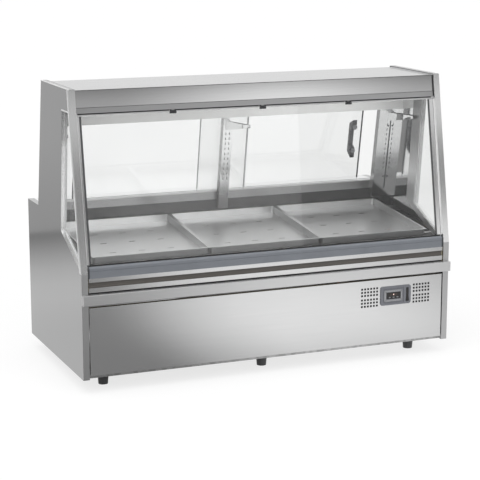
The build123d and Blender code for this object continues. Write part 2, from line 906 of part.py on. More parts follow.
# Display deck: slanting pans with folded rims, lying on two angle bearers
deck_sin = math.sin(math.radians(pan_lean))
deck_cos = math.cos(math.radians(pan_lean))
deck_front = front_y + pan_front
deck_origin = (0, deck_front, lip_bottom - pan_sink)
deck_plane = Plane(deck_origin, x_dir=(1, 0, 0), z_dir=(0, -deck_sin, deck_cos))
deck_section = Plane(deck_origin, x_dir=(0, deck_cos, deck_sin), z_dir=(1, 0, 0))
pan_length = (pan_rear - deck_front) / deck_cos
deck_width = 2 * (inner_x - pan_end_gap)
pan_pitch = deck_width / pan_count
pan_width = pan_pitch - pan_gap
pan_places = [((n - (pan_count - 1) / 2) * pan_pitch, pan_length / 2) for n in range(pan_count)]
slot_parts = pan_slot_count + 1
with BuildPart() as deck_pans:
    with BuildSketch(deck_plane):
        with Locations(*pan_places):
            RectangleRounded(pan_width - 2 * pan_rim, pan_length - 2 * pan_rim, pan_corner)
    extrude(amount=pan_height)
    with BuildSketch(deck_plane.offset(pan_height - sheet)):
        with Locations(*pan_places):
            Rectangle(pan_width, pan_length)
    extrude(amount=sheet)
    with BuildSketch(deck_plane.offset(sheet)):
        with Locations(*pan_places):
            RectangleRounded(pan_width - 2 * pan_rim - 2 * sheet, pan_length - 2 * pan_rim - 2 * sheet, pan_corner)
    extrude(amount=pan_height, mode=Mode.SUBTRACT)
    with BuildSketch(deck_plane):
        with Locations(*pan_places):
            with GridLocations(pan_width / slot_parts, pan_length / slot_parts, pan_slot_count, pan_slot_count):
                Rectangle(pan_slot, pan_slot_width)
    extrude(amount=2 * sheet, mode=Mode.SUBTRACT)
deck_pans.part.label = "deck_pans"
export_step(deck_pans.part, "parts/deck_pans.step")

with BuildPart() as pan_bearers:
    for run in (bearer_inset, pan_length - bearer_inset - bearer_height):
        with BuildSketch(deck_section):
            folded([(run + bearer_height, 0), (run, 0), (run, -bearer_height)], channel_wall)
        extrude(amount=inner_x, both=True)
pan_bearers.part.label = "pan_bearers"
export_step(pan_bearers.part, "parts/pan_bearers.step")

# Evaporator: finned coil on plates that stand on the tub floor
coil_bottom = tub_floor_high + coil_lift
coil_start = front_y + coil_front
coil_middle = (coil_start + coil_rear) / 2
coil_width = coil_rear - coil_start
fin_pitch = coil_length / (coil_fin_count - 1)


def floor_at(y):
    fall = (tub_floor_high - tub_floor_low) / (drain_y - tub_channel / 2 - front_y - tub_wall_front)
    return tub_floor_low + fall * max(0, abs(y - drain_y) - tub_channel / 2)


with BuildPart() as evaporator_coil:
    for n in range(coil_fin_count):
        with BuildSketch(Plane.YZ.offset(n * fin_pitch - coil_length / 2)):
            with Locations((coil_middle, coil_bottom + coil_height / 2)):
                Rectangle(coil_width, coil_height)
        extrude(amount=fin / 2, both=True)
    with BuildSketch(Plane.YZ):
        with Locations((coil_middle, coil_bottom + coil_height / 2)):
            with GridLocations(coil_width / coil_tube_count, 0, coil_tube_count, 1):
                RegularPolygon(tube_radius, tube_sides)
    extrude(amount=coil_length / 2, both=True)
    for x in (-coil_length / 2, 0, coil_length / 2):
        with BuildSketch(Plane.YZ.offset(x)):
            Polygon(
                (coil_start, floor_at(coil_start)),
                (drain_y - tub_channel / 2, tub_floor_low),
                (drain_y - tub_channel / 2, coil_bottom),
                (drain_y + tub_channel / 2, coil_bottom),
                (drain_y + tub_channel / 2, tub_floor_low),
                (coil_rear, floor_at(coil_rear)),
                (coil_rear, coil_bottom + coil_height),
                (coil_start, coil_bottom + coil_height),
            )
        extrude(amount=channel_wall / 2, both=True)
evaporator_coil.part.label = "evaporator_coil"
export_step(evaporator_coil.part, "parts/evaporator_coil.step")

# Condensing unit on its tray, behind the vents
unit_floor = foot_height + channel + sheet
unit_middle = (unit_front + unit_rear) / 2
with BuildPart() as unit_base:
    with Locations((unit_x, unit_middle, foot_height + channel + unit_fold / 2)):
        Box(unit_width, unit_length, unit_fold)
    offset(amount=-sheet, openings=unit_base.faces().sort_by(Axis.Z)[-1])
unit_base.part.label = "unit_base"
export_step(unit_base.part, "parts/unit_base.step")

condenser_front = unit_front + unit_fold
condenser_rear = condenser_front + condenser_depth
condenser_middle = (condenser_front + condenser_rear) / 2
fan_axis_z = unit_floor + condenser_tall / 2
cooling_pitch = condenser_width / (fin_count - 1)
with BuildPart() as condenser_coil:
    for n in range(fin_count):
        with BuildSketch(Plane.YZ.offset(unit_x + n * cooling_pitch - condenser_width / 2)):
            with Locations((condenser_middle, fan_axis_z)):
                Rectangle(condenser_depth, condenser_tall)
        extrude(amount=fin / 2, both=True)
    with BuildSketch(Plane.YZ.offset(unit_x)):
        with Locations((condenser_middle, fan_axis_z)):
            with GridLocations(
                condenser_depth / tube_row_count,
                condenser_tall / tube_column_count,
                tube_row_count,
                tube_column_count,
            ):
                RegularPolygon(tube_radius, tube_sides)
    extrude(amount=condenser_width / 2, both=True)
condenser_coil.part.label = "condenser_coil"
export_step(condenser_coil.part, "parts/condenser_coil.step")

shroud_rear = condenser_rear + shroud_depth
collar_radius = fan_radius + fan_clearance
fan_origin = (unit_x, shroud_rear, fan_axis_z)
fan_plane = Plane(fan_origin, x_dir=(1, 0, 0), z_dir=(0, 1, 0))
with BuildPart() as fan_shroud:
    with Locations((unit_x, condenser_rear + shroud_depth / 2, fan_axis_z)):
        Box(condenser_width, shroud_depth, condenser_tall)
    offset(amount=-sheet, openings=fan_shroud.faces().sort_by(Axis.Y)[0])
    with BuildSketch(fan_plane.offset(-sheet)):
        Circle(collar_radius + sheet)
    extrude(amount=sheet + collar_depth)
    with BuildSketch(fan_plane.offset(-2 * sheet)):
        Circle(collar_radius)
    extrude(amount=3 * sheet + collar_depth, mode=Mode.SUBTRACT)
fan_shroud.part.label = "fan_shroud"
export_step(fan_shroud.part, "parts/fan_shroud.step")

motor_front = collar_depth + motor_gap
with BuildPart() as fan_motor:
    with BuildSketch(fan_plane.offset(motor_front)):
        Circle(motor_radius)
    extrude(amount=motor_length)
    with Locations((unit_x, shroud_rear + motor_front + motor_length / 2, unit_floor)):
        Box(
            motor_radius,
            motor_length / 2,
            condenser_tall / 2,
            align=(Align.CENTER, Align.CENTER, Align.MIN),
        )
        Box(
            2 * motor_radius,
            motor_length,
            motor_foot,
            align=(Align.CENTER, Align.CENTER, Align.MIN),
        )
    with BuildSketch(fan_plane.offset(motor_front)):
        Circle(shaft_radius + shaft_clearance)
    extrude(amount=motor_bore, mode=Mode.SUBTRACT)
fan_motor.part.label = "fan_motor"
export_step(fan_motor.part, "parts/fan_motor.step")

hub_start = (collar_depth - hub_depth) / 2
fan_middle = Vector(unit_x, shroud_rear + collar_depth / 2, fan_axis_z)
blade_turn = math.radians(blade_pitch)
with BuildPart() as fan_blades:
    with BuildSketch(fan_plane.offset(hub_start)):
        Circle(hub_radius)
    extrude(amount=hub_depth)
    for n in range(blade_count):
        angle = 2 * math.pi * n / blade_count
        reach = Vector(math.cos(angle), 0, math.sin(angle))
        tangent = Vector(-math.sin(angle), 0, math.cos(angle))
        facing = tangent * math.sin(blade_turn) + Vector(0, math.cos(blade_turn), 0)
        with BuildSketch(Plane(fan_middle, x_dir=reach, z_dir=facing)) as blade:
            Polygon(
                (blade_root, -root_chord / 2),
                (blade_tip, -tip_chord / 2),
                (blade_tip, tip_chord / 2),
                (blade_root, root_chord / 2),
            )
            chamfer(blade.vertices().group_by(Axis.X)[-1], length=blade_round)
        extrude(amount=blade_gauge / 2, both=True)
    with BuildSketch(fan_plane.offset(collar_depth / 2)):
        Circle(shaft_radius)
    extrude(amount=motor_front - collar_depth / 2 + motor_bore - motor_gap)
fan_blades.part.label = "fan_blades"
export_step(fan_blades.part, "parts/fan_blades.step")

compressor_x = unit_x - compressor_shift
can_bottom = unit_floor + grommet_height + plate_thick
can_top = can_bottom + compressor_height
can_plane = Plane((compressor_x, compressor_y, can_bottom), x_dir=(1, 0, 0), z_dir=(0, -1, 0))
with BuildPart() as compressor:
    with BuildSketch(can_plane):
        Polygon(
            (0, 0),
            (compressor_radius, 0),
            (compressor_radius, compressor_height / 2),
            (compressor_radius - can_lap, compressor_height / 2),
            (compressor_radius - can_lap, compressor_height - can_dome),
            (compressor_radius - can_dome, compressor_height),
            (0, compressor_height),
        )
    revolve(axis=Axis((compressor_x, compressor_y, 0), (0, 0, 1)))
    with BuildSketch(Plane.XY.offset(can_bottom - plate_thick)):
        with Locations((compressor_x, compressor_y)):
            Rectangle(2 * compressor_radius, 2 * compressor_radius)
    extrude(amount=plate_thick)
    with BuildSketch(Plane.XY.offset(unit_floor)):
        with Locations((compressor_x, compressor_y)):
            with GridLocations(grommet_pitch, grommet_pitch, 2, 2):
                RegularPolygon(grommet_radius, grommet_sides)
    extrude(amount=grommet_height)
    with BuildSketch(Plane.XY.offset(can_top - can_dome)):
        with Locations((compressor_x, compressor_y)):
            with GridLocations(2 * stub_shift, 0, 2, 1):
                RegularPolygon(stub_radius, pipe_sides)
    extrude(amount=can_dome + stub_rise)
compressor.part.label = "compressor"
export_step(compressor.part, "parts/compressor.step")

with BuildPart() as electrical_box:
    with Locations((unit_x + box_shift, compressor_y, unit_floor)):
        Box(box_width, box_length, box_height, align=(Align.CENTER, Align.CENTER, Align.MIN))
        fillet(electrical_box.edges().filter_by(Axis.Z), radius=box_round)
    with BuildSketch(Plane.XY.offset(unit_floor + box_height)):
        with Locations((unit_x + box_shift, compressor_y)):
            RectangleRounded(box_width - box_round, box_length - box_round, box_round)
    extrude(amount=box_lid)
electrical_box.part.label = "electrical_box"
export_step(electrical_box.part, "parts/electrical_box.step")

# Refrigerant lines: discharge to the condenser, liquid and suction to the coil
stub_top = can_top + stub_rise
coil_end = coil_length / 2 + channel_wall / 2
line_height = coil_bottom + coil_height / 2
condenser_left = unit_x - condenser_width / 2 - fin / 2
condenser_right = unit_x + condenser_width / 2 + fin / 2
pipe_runs = [
    [
        (compressor_x + stub_shift, compressor_y, stub_top),
        (compressor_x + stub_shift, compressor_y, stub_top + line_rise),
        (suction_x, compressor_y, stub_top + line_rise),
        (suction_x, compressor_y, line_height),
        (coil_end, compressor_y, line_height),
    ],
    [
        (compressor_x - stub_shift, compressor_y, stub_top),
        (compressor_x - stub_shift, compressor_y, stub_top + line_rise),
        (condenser_left - line_rise, compressor_y, stub_top + line_rise),
        (condenser_left - line_rise, condenser_middle, stub_top + line_rise),
        (condenser_left - line_rise, condenser_middle, fan_axis_z),
        (condenser_left, condenser_middle, fan_axis_z),
    ],
    [
        (condenser_right, condenser_middle, fan_axis_z),
        (liquid_x, condenser_middle, fan_axis_z),
        (liquid_x, liquid_y, fan_axis_z),
        (liquid_x, liquid_y, line_height),
        (coil_end, liquid_y, line_height),
    ],
]
with BuildPart() as refrigerant_pipes:
    for run in pipe_runs:
        with BuildLine() as pipe_path:
            FilletPolyline(*run, radius=pipe_bend)
        with BuildSketch(Plane(pipe_path.line @ 0, z_dir=pipe_path.line % 0)):
            RegularPolygon(pipe_radius, pipe_sides)
        sweep(path=pipe_path.line)
refrigerant_pipes.part.label = "refrigerant_pipes"
export_step(refrigerant_pipes.part, "parts/refrigerant_pipes.step")

# Control housing: moulded frame through the front panel, with a sunk bezel
bezel_floor = control_flange - bezel_sink
control_back = -control_box_depth
rocker_depth = control_flange - rocker_sink
with BuildPart() as control_housing:
    with BuildSketch(control_plane):
        RectangleRounded(control_width, control_tall, control_corner)
    extrude(amount=control_flange, taper=control_taper)
    with BuildSketch(control_plane):
        Rectangle(
            control_width - 2 * control_lip - 2 * running_gap,
            control_tall - 2 * control_lip - 2 * running_gap,
        )
    extrude(amount=control_back)
    with BuildSketch(control_plane.offset(bezel_floor)):
        with Locations((bezel_shift, 0)):
            RectangleRounded(bezel_width, bezel_tall, control_lip)
    extrude(amount=bezel_sink, mode=Mode.SUBTRACT)
    with BuildSketch(control_plane.offset(bezel_floor)):
        with Locations((bezel_shift, 0)):
            Rectangle(thermostat_width - 2 * face_lip, thermostat_tall - 2 * face_lip)
    extrude(amount=-control_box_depth - bezel_floor, mode=Mode.SUBTRACT)
    with BuildSketch(control_plane.offset(control_flange)):
        with Locations((rocker_shift, 0)):
            Rectangle(rocker_width, rocker_tall)
    extrude(amount=-rocker_pocket, mode=Mode.SUBTRACT)
    with BuildSketch(Plane.YZ.offset(control_x + rocker_shift)):
        with Locations((sheet_face - rocker_depth, control_height)):
            Circle(rocker_pin + pin_clearance)
    extrude(amount=rocker_width / 2 + pin_reach, both=True, mode=Mode.SUBTRACT)
control_housing.part.label = "control_housing"
export_step(control_housing.part, "parts/control_housing.step")

# Thermostat: face plate on the bezel, body behind it, pockets for three keys
face_front = bezel_floor + face_gauge
key_places = [(bezel_shift + n * key_pitch, -key_drop) for n in (-1, 0, 1)]
with BuildPart() as thermostat:
    with BuildSketch(control_plane.offset(bezel_floor)):
        with Locations((bezel_shift, 0)):
            RectangleRounded(thermostat_width, thermostat_tall, face_lip)
    extrude(amount=face_gauge)
    with BuildSketch(control_plane.offset(bezel_floor)):
        with Locations((bezel_shift, 0)):
            Rectangle(
                thermostat_width - 2 * face_lip - 2 * running_gap,
                thermostat_tall - 2 * face_lip - 2 * running_gap,
            )
    extrude(amount=-thermostat_depth)
    with BuildSketch(control_plane.offset(face_front)):
        with Locations((bezel_shift, display_rise)):
            Rectangle(display_width, display_tall)
    extrude(amount=-face_gauge / 4, mode=Mode.SUBTRACT)
    with BuildSketch(control_plane.offset(face_front)):
        with Locations(*key_places):
            Rectangle(key_width + 2 * running_gap, key_tall + 2 * running_gap)
    extrude(amount=-key_depth - 2 * key_travel, mode=Mode.SUBTRACT)
thermostat.part.label = "thermostat"
export_step(thermostat.part, "parts/thermostat.step")

for name, place in zip(("key_down", "key_set", "key_up"), key_places):
    with BuildPart() as key:
        with BuildSketch(control_plane.offset(face_front - key_depth)):
            with Locations(place):
                Rectangle(key_width, key_tall)
        extrude(amount=key_depth + key_stand)
        fillet(key.faces().sort_by(Axis.Y)[0].edges(), radius=key_round)
    key.part.label = name
    export_step(key.part, f"parts/{name}.step")

# Rocker switch: two slanted halves on stub pins, resting with its top end pressed
rest_cos = math.cos(math.radians(rocker_tilt))
rest_sin = math.sin(math.radians(rocker_tilt))


def rocker_point(stand, rise):
    return (
        sheet_face - rocker_depth - stand * rest_cos + rise * rest_sin,
        control_height + stand * rest_sin + rise * rest_cos,
    )


with BuildPart() as rocker_switch:
    with BuildSketch(Plane.YZ.offset(control_x + rocker_shift)):
        Polygon(
            rocker_point(rocker_waist, 0),
            rocker_point(rocker_crest, rocker_half),
            rocker_point(-rocker_waist, rocker_half),
            rocker_point(-rocker_crest, 0),
            rocker_point(-rocker_waist, -rocker_half),
            rocker_point(rocker_crest, -rocker_half),
        )
    extrude(amount=rocker_width / 2 - running_gap, both=True)
    with BuildSketch(Plane.YZ.offset(control_x + rocker_shift)):
        with Locations((sheet_face - rocker_depth, control_height)):
            Circle(rocker_pin)
    extrude(amount=rocker_width / 2 + pin_reach - running_gap, both=True)
rocker_switch.part.label = "rocker_switch"
export_step(rocker_switch.part, "parts/rocker_switch.step")

# Door rails: twin-channel extrusions at the foot and the head of the service side
slot_outer = track_back + track_wall
slot_inner = slot_outer + track_slot + track_middle
rise_foot_top = rear_rise(foot_rail_top)
rise_foot_cut = rise_foot_top - track_cut
rise_head_low = rear_rise(head_height, track_front)
rise_head_cut = rise_head_low + track_cut
rise_head_top = rise_head_low + head_rail_height
rear_section = Plane(rear_origin, x_dir=(0, -rear_cos, -rear_sin), z_dir=(-1, 0, 0))


def track_slots(low, high):
    for start in (slot_outer, slot_inner):
        with Locations((start + track_slot / 2, (low + high) / 2)):
            Rectangle(track_slot, high - low, mode=Mode.SUBTRACT)


with BuildPart() as door_rail_bottom:
    with BuildSketch(rear_section):
        Polygon(
            (track_back, rear_rise(tub_rear_top, track_back)),
            (track_back, rise_foot_top),
            (track_front, rise_foot_top),
            (track_front, rear_rise(tub_rear_top, track_front)),
        )
        track_slots(rise_foot_cut, rise_foot_top)
    extrude(amount=inner_x, both=True)
door_rail_bottom.part.label = "door_rail_bottom"
export_step(door_rail_bottom.part, "parts/door_rail_bottom.step")

with BuildPart() as door_rail_top:
    with BuildSketch(rear_section):
        with Locations(((track_back + track_front) / 2, (rise_head_low + rise_head_top) / 2)):
            Rectangle(track_front - track_back, head_rail_height)
        track_slots(rise_head_low, rise_head_cut)
    extrude(amount=inner_x, both=True)
door_rail_top.part.label = "door_rail_top"
export_step(door_rail_top.part, "parts/door_rail_top.step")

# Sliding glass doors: the right one runs in the outer track, the left one inside it
door_low = rise_foot_cut + running_gap
door_high = rise_head_low + track_entry
door_middle = (door_low + door_high) / 2
outer_pane = slot_outer + (track_slot - door_glass) / 2
inner_pane = slot_inner + (track_slot - door_glass) / 2
closed_edge = inner_x - upright_width / 2
door_width = closed_edge + door_lap
right_door_x = closed_edge - door_ajar - door_width / 2
with BuildPart() as door_right:
    with BuildSketch(rear_plane.offset(outer_pane)):
        with Locations((right_door_x, door_middle)):
            RectangleRounded(door_width, door_high - door_low, glass_corner)
    extrude(amount=door_glass)
door_right.part.label = "door_right"
export_step(door_right.part, "parts/door_right.step")

with BuildPart() as door_left:
    with BuildSketch(rear_plane.offset(inner_pane)):
        with Locations((-right_door_x, door_middle)):
            RectangleRounded(door_width, door_high - door_low, glass_corner)
    extrude(amount=door_glass)
door_left.part.label = "door_left"
export_step(door_left.part, "parts/door_left.step")

# Bow handle on the outer door, and a slim pull that clears it on the inner door
handle_x = right_door_x + door_width / 2 - handle_edge
pull_x = right_door_x + (door_width - pull_width) / 2 - pull_edge
handle_rise = rear_rise(handle_height)
bow_plane = Plane(rear_origin, x_dir=(0, rear_cos, rear_sin), z_dir=(1, 0, 0)).offset(handle_x)
bow_foot = -outer_pane
bow_top = bow_foot + handle_reach
with BuildPart() as door_handle:
    with BuildSketch(bow_plane) as bow:
        with BuildLine():
            Polyline(
                (bow_foot, handle_rise - handle_length / 2),
                (bow_top, handle_rise - handle_length / 2 + bow_slope),
                (bow_top, handle_rise + handle_length / 2 - bow_slope),
                (bow_foot, handle_rise + handle_length / 2),
                (bow_foot, handle_rise + handle_screws / 2 - bow_pad),
                (bow_top - handle_bar, handle_rise + handle_screws / 2 - bow_slope),
                (bow_top - handle_bar, handle_rise - handle_screws / 2 + bow_slope),
                (bow_foot, handle_rise - handle_screws / 2 + bow_pad),
                close=True,
            )
        make_face()
        fillet(bow.vertices().group_by(Axis.X)[-1], radius=bow_round)
    extrude(amount=handle_width / 2, both=True)
    fillet(door_handle.faces().sort_by(Axis(rear_origin, (0, rear_cos, rear_sin)))[-1].edges(), radius=bow_edge)
door_handle.part.label = "door_handle"
export_step(door_handle.part, "parts/door_handle.step")

with BuildPart() as door_pull:
    with BuildSketch(rear_plane.offset(inner_pane)):
        with Locations((-pull_x, handle_rise)):
            RectangleRounded(pull_width, pull_length, pull_corner)
    extrude(amount=-pull_height, taper=pull_taper)
door_pull.part.label = "door_pull"
export_step(door_pull.part, "parts/door_pull.step")

# Uprights and centre post: slotted channels on the service side of the chamber
pan_rear_top = deck_origin[2] + pan_length * deck_sin + pan_height * deck_cos
post_foot = pan_rear_top + post_foot_gap


def post_side(front_wall):
    Polygon(
        (tub_rear_wall, post_foot),
        (tub_rear_wall, tub_rear_top),
        (rear_at(head_height, track_front), head_height),
        (rear_at(head_height, post_face - front_wall), head_height),
        (rear_at(post_foot, post_face - front_wall), post_foot),
    )


slot_rise = rear_rise(bracket_height)
end_slot_x = inner_x - slot_end
post_kinds = [
    ("rear_upright_left", -inner_x + upright_width / 2, upright_width, -end_slot_x, 1),
    ("rear_upright_right", inner_x - upright_width / 2, upright_width, end_slot_x, 1),
    ("centre_post", 0, centre_post_width, 0, 2),
]
for name, x, width, slot_x, rows in post_kinds:
    with BuildPart() as slotted_post:
        with BuildSketch(Plane.YZ.offset(x)):
            post_side(0)
        extrude(amount=width / 2, both=True)
        with BuildSketch(Plane.YZ.offset(x)):
            post_side(post_wall)
        extrude(amount=width / 2 - post_wall, both=True, mode=Mode.SUBTRACT)
        with BuildSketch(rear_plane.offset(post_face)):
            with Locations((slot_x, slot_rise - (slot_count - 3) * slot_pitch / 2)):
                with GridLocations(slot_spread, slot_pitch, rows, slot_count):
                    Rectangle(slot_width, slot_height)
        extrude(amount=-2 * post_wall, mode=Mode.SUBTRACT)
    slotted_post.part.label = name
    export_step(slotted_post.part, f"parts/{name}.step")

# Shelf brackets: plain arms whose hooks hang in the slots
hook_rise = slot_rise + slot_pitch - slot_height / 2
arm_places = [-end_slot_x, -slot_spread / 2, slot_spread / 2, end_slot_x]
arm_high = rear_rise(bracket_height) + slot_pitch + slot_height
arm_face_y = rear_at(bracket_height, post_face)


def bracket_point(depth, rise):
    return (
        rear_y - ledge_depth - rise * rear_sin - depth * rear_cos,
        ledge_height + rise * rear_cos - depth * rear_sin,
    )


with BuildPart() as shelf_brackets:
    for x in arm_places:
        with BuildSketch(Plane.YZ.offset(x)):
            Polygon(
                bracket_point(post_face, arm_high),
                bracket_point(post_face, arm_high - arm_root),
                (arm_face_y - arm_length, bracket_height + arm_length * arm_climb),
                (arm_face_y - arm_length, bracket_height + arm_length * arm_climb + arm_tip),
            )
            for n in (0, 1):
                foot = hook_rise - n * slot_pitch
                Polygon(
                    bracket_point(post_face, foot),
                    bracket_point(post_face, foot + hook_tall),
                    bracket_point(post_face - hook_reach, foot + hook_tall),
                    bracket_point(post_face - hook_reach, foot - hook_drop),
                    bracket_point(post_face - post_wall - running_gap, foot - hook_drop),
                    bracket_point(post_face - post_wall - running_gap, foot),
                )
        extrude(amount=arm_sheet / 2, both=True)
    with BuildSketch(Plane.YZ):
        with Locations((arm_face_y - arm_length + arm_tip, bracket_height + arm_length * arm_climb + arm_tip / 2)):
            Rectangle(2 * arm_sheet, arm_tip - arm_sheet)
    extrude(amount=slot_spread / 2, both=True)
shelf_brackets.part.label = "shelf_brackets"
export_step(shelf_brackets.part, "parts/shelf_brackets.step")

# Rear ledge and louvred rear panel
with BuildPart() as rear_ledge:
    with BuildSketch(Plane.YZ):
        folded(
            [
                (rear_at(foot_rail_top - sheet, skirt_set), foot_rail_top - sheet),
                (rear_at(ledge_height, skirt_set), ledge_height),
                (rear_y, ledge_height),
                (rear_y, rear_panel_top + ledge_reveal),
            ],
            -sheet,
        )
    extrude(amount=inner_x, both=True)
rear_ledge.part.label = "rear_ledge"
export_step(rear_ledge.part, "parts/rear_ledge.step")

rear_panel_face = rear_y - panel_set
rear_panel_height = rear_panel_top - front_panel_bottom
with BuildPart() as rear_panel:
    with Locations((0, rear_panel_face - panel_fold / 2, front_panel_bottom + rear_panel_height / 2)):
        Box(2 * (inner_x - panel_side_gap), panel_fold, rear_panel_height)
    offset(amount=-sheet, openings=rear_panel.faces().sort_by(Axis.Y)[0])
    with BuildSketch(Plane((unit_x, rear_panel_face, control_height), x_dir=(1, 0, 0), z_dir=(0, -1, 0))):
        with GridLocations(louvre_width + louvre_pitch, louvre_pitch, louvre_column_count, louvre_row_count):
            Rectangle(louvre_width, louvre_height)
    extrude(amount=2 * sheet, mode=Mode.SUBTRACT)
rear_panel.part.label = "rear_panel"
export_step(rear_panel.part, "parts/rear_panel.step")
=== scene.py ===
import bpy
import bmesh
import json
import math
from mathutils import Matrix, Vector


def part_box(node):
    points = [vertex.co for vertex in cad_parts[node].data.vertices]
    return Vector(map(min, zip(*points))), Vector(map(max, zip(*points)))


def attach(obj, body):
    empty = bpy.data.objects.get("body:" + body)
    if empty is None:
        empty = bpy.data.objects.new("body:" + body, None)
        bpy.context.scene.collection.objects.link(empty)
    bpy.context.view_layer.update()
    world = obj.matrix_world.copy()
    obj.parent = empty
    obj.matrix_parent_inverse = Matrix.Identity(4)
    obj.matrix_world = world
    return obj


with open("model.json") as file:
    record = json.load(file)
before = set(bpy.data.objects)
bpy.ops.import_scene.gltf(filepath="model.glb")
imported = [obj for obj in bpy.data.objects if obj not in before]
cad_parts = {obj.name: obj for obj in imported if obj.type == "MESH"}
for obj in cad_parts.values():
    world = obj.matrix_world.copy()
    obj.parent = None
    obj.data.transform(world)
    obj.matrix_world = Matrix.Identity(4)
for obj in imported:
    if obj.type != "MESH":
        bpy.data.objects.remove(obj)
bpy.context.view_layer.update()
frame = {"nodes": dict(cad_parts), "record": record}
cad = frame["nodes"]
print("frame loaded:", len(cad), "nodes")


# node tree helpers, all patterns sit on Object coordinates
noiseSpan = (0.3, 0.7)  # most noise values lie in here


def newFinish(name):
    finish = bpy.data.materials.new(name)
    finish.use_nodes = True
    return finish, finish.node_tree, finish.node_tree.nodes["Principled BSDF"]


def addNode(tree, kind, **values):
    made = tree.nodes.new(kind)
    for key, value in values.items():
        setattr(made, key, value)
    return made


# outputs of other nodes are linked, plain values are set
def feed(node, inputs):
    for name, value in inputs.items():
        if isinstance(value, bpy.types.NodeSocket):
            node.id_data.links.new(value, node.inputs[name])
        else:
            node.inputs[name].default_value = value


def objectMap(tree, scale=(1, 1, 1)):
    coord = addNode(tree, "ShaderNodeTexCoord")
    mapping = addNode(tree, "ShaderNodeMapping")
    feed(mapping, {"Scale": scale, "Vector": coord.outputs["Object"]})
    return mapping.outputs["Vector"]


def placeOf(tree):
    coord = addNode(tree, "ShaderNodeTexCoord")
    place = addNode(tree, "ShaderNodeSeparateXYZ")
    feed(place, {"Vector": coord.outputs["Object"]})
    return place.outputs


def noise(tree, vector, scale, detail=3.0, rough=0.5):
    made = addNode(tree, "ShaderNodeTexNoise")
    feed(made, {"Scale": scale, "Detail": detail, "Roughness": rough, "Vector": vector})
    return made.outputs["Fac"]


def tones(tree, source, stops):
    ramp = addNode(tree, "ShaderNodeValToRGB")
    while len(ramp.color_ramp.elements) < len(stops):
        ramp.color_ramp.elements.new(0.5)  # put in its place below
    for stop, (place, colour) in zip(ramp.color_ramp.elements, stops):
        stop.position = place
        stop.color = (*colour, 1.0)
    feed(ramp, {"Fac": source})
    return ramp.outputs["Color"]


def grey(value, warm=0.0):
    return (value * (1 + warm), value, value * (1 - warm))


# ramp of plain greys
def levels(tree, source, stops):
    return tones(tree, source, [(at, grey(level)) for at, level in stops])


# ramp of one colour, from darker to lighter
def vary(tree, source, tone, gains, stops=noiseSpan):
    return tones(tree, source, [(at, [c * gain for c in tone]) for at, gain in zip(stops, gains)])


def remap(tree, source, fromLow, fromHigh, low, high, way="LINEAR"):
    made = addNode(tree, "ShaderNodeMapRange", interpolation_type=way)
    feed(made, {"Value": source, "From Min": fromLow, "From Max": fromHigh, "To Min": low, "To Max": high})
    return made.outputs["Result"]


def span(tree, source, low, high):
    return remap(tree, source, *noiseSpan, low, high)


def combine(tree, operation, first, second):
    made = addNode(tree, "ShaderNodeMath", operation=operation)
    feed(made, {0: first, 1: second})
    return made.outputs["Value"]


def multiply(tree, first, second):
    made = addNode(tree, "ShaderNodeMix", data_type="RGBA", blend_type="MULTIPLY")
    feed(made, {"Factor": 1.0, "A": first, "B": second})
    return made.outputs["Result"]


def either(tree, factor, first, second):
    made = addNode(tree, "ShaderNodeMix")
    feed(made, {"Factor": factor, "A": first, "B": second})
    return made.outputs["Result"]


def relief(tree, shader, source, strength, distance):
    made = addNode(tree, "ShaderNodeBump")
    feed(made, {"Strength": strength, "Distance": distance, "Height": source})
    feed(shader, {"Normal": made.outputs["Normal"]})


# some finishes carry painted shade and painted highlights along an axis: its name, from, to, and stops of
# (share, level)
def shaded(tree, colour, look):
    for axis, low, high, stops in look.get("shade", []):
        rise = remap(tree, placeOf(tree)[axis], low, high, 0, 1)
        colour = multiply(tree, colour, levels(tree, rise, stops))
    return colour


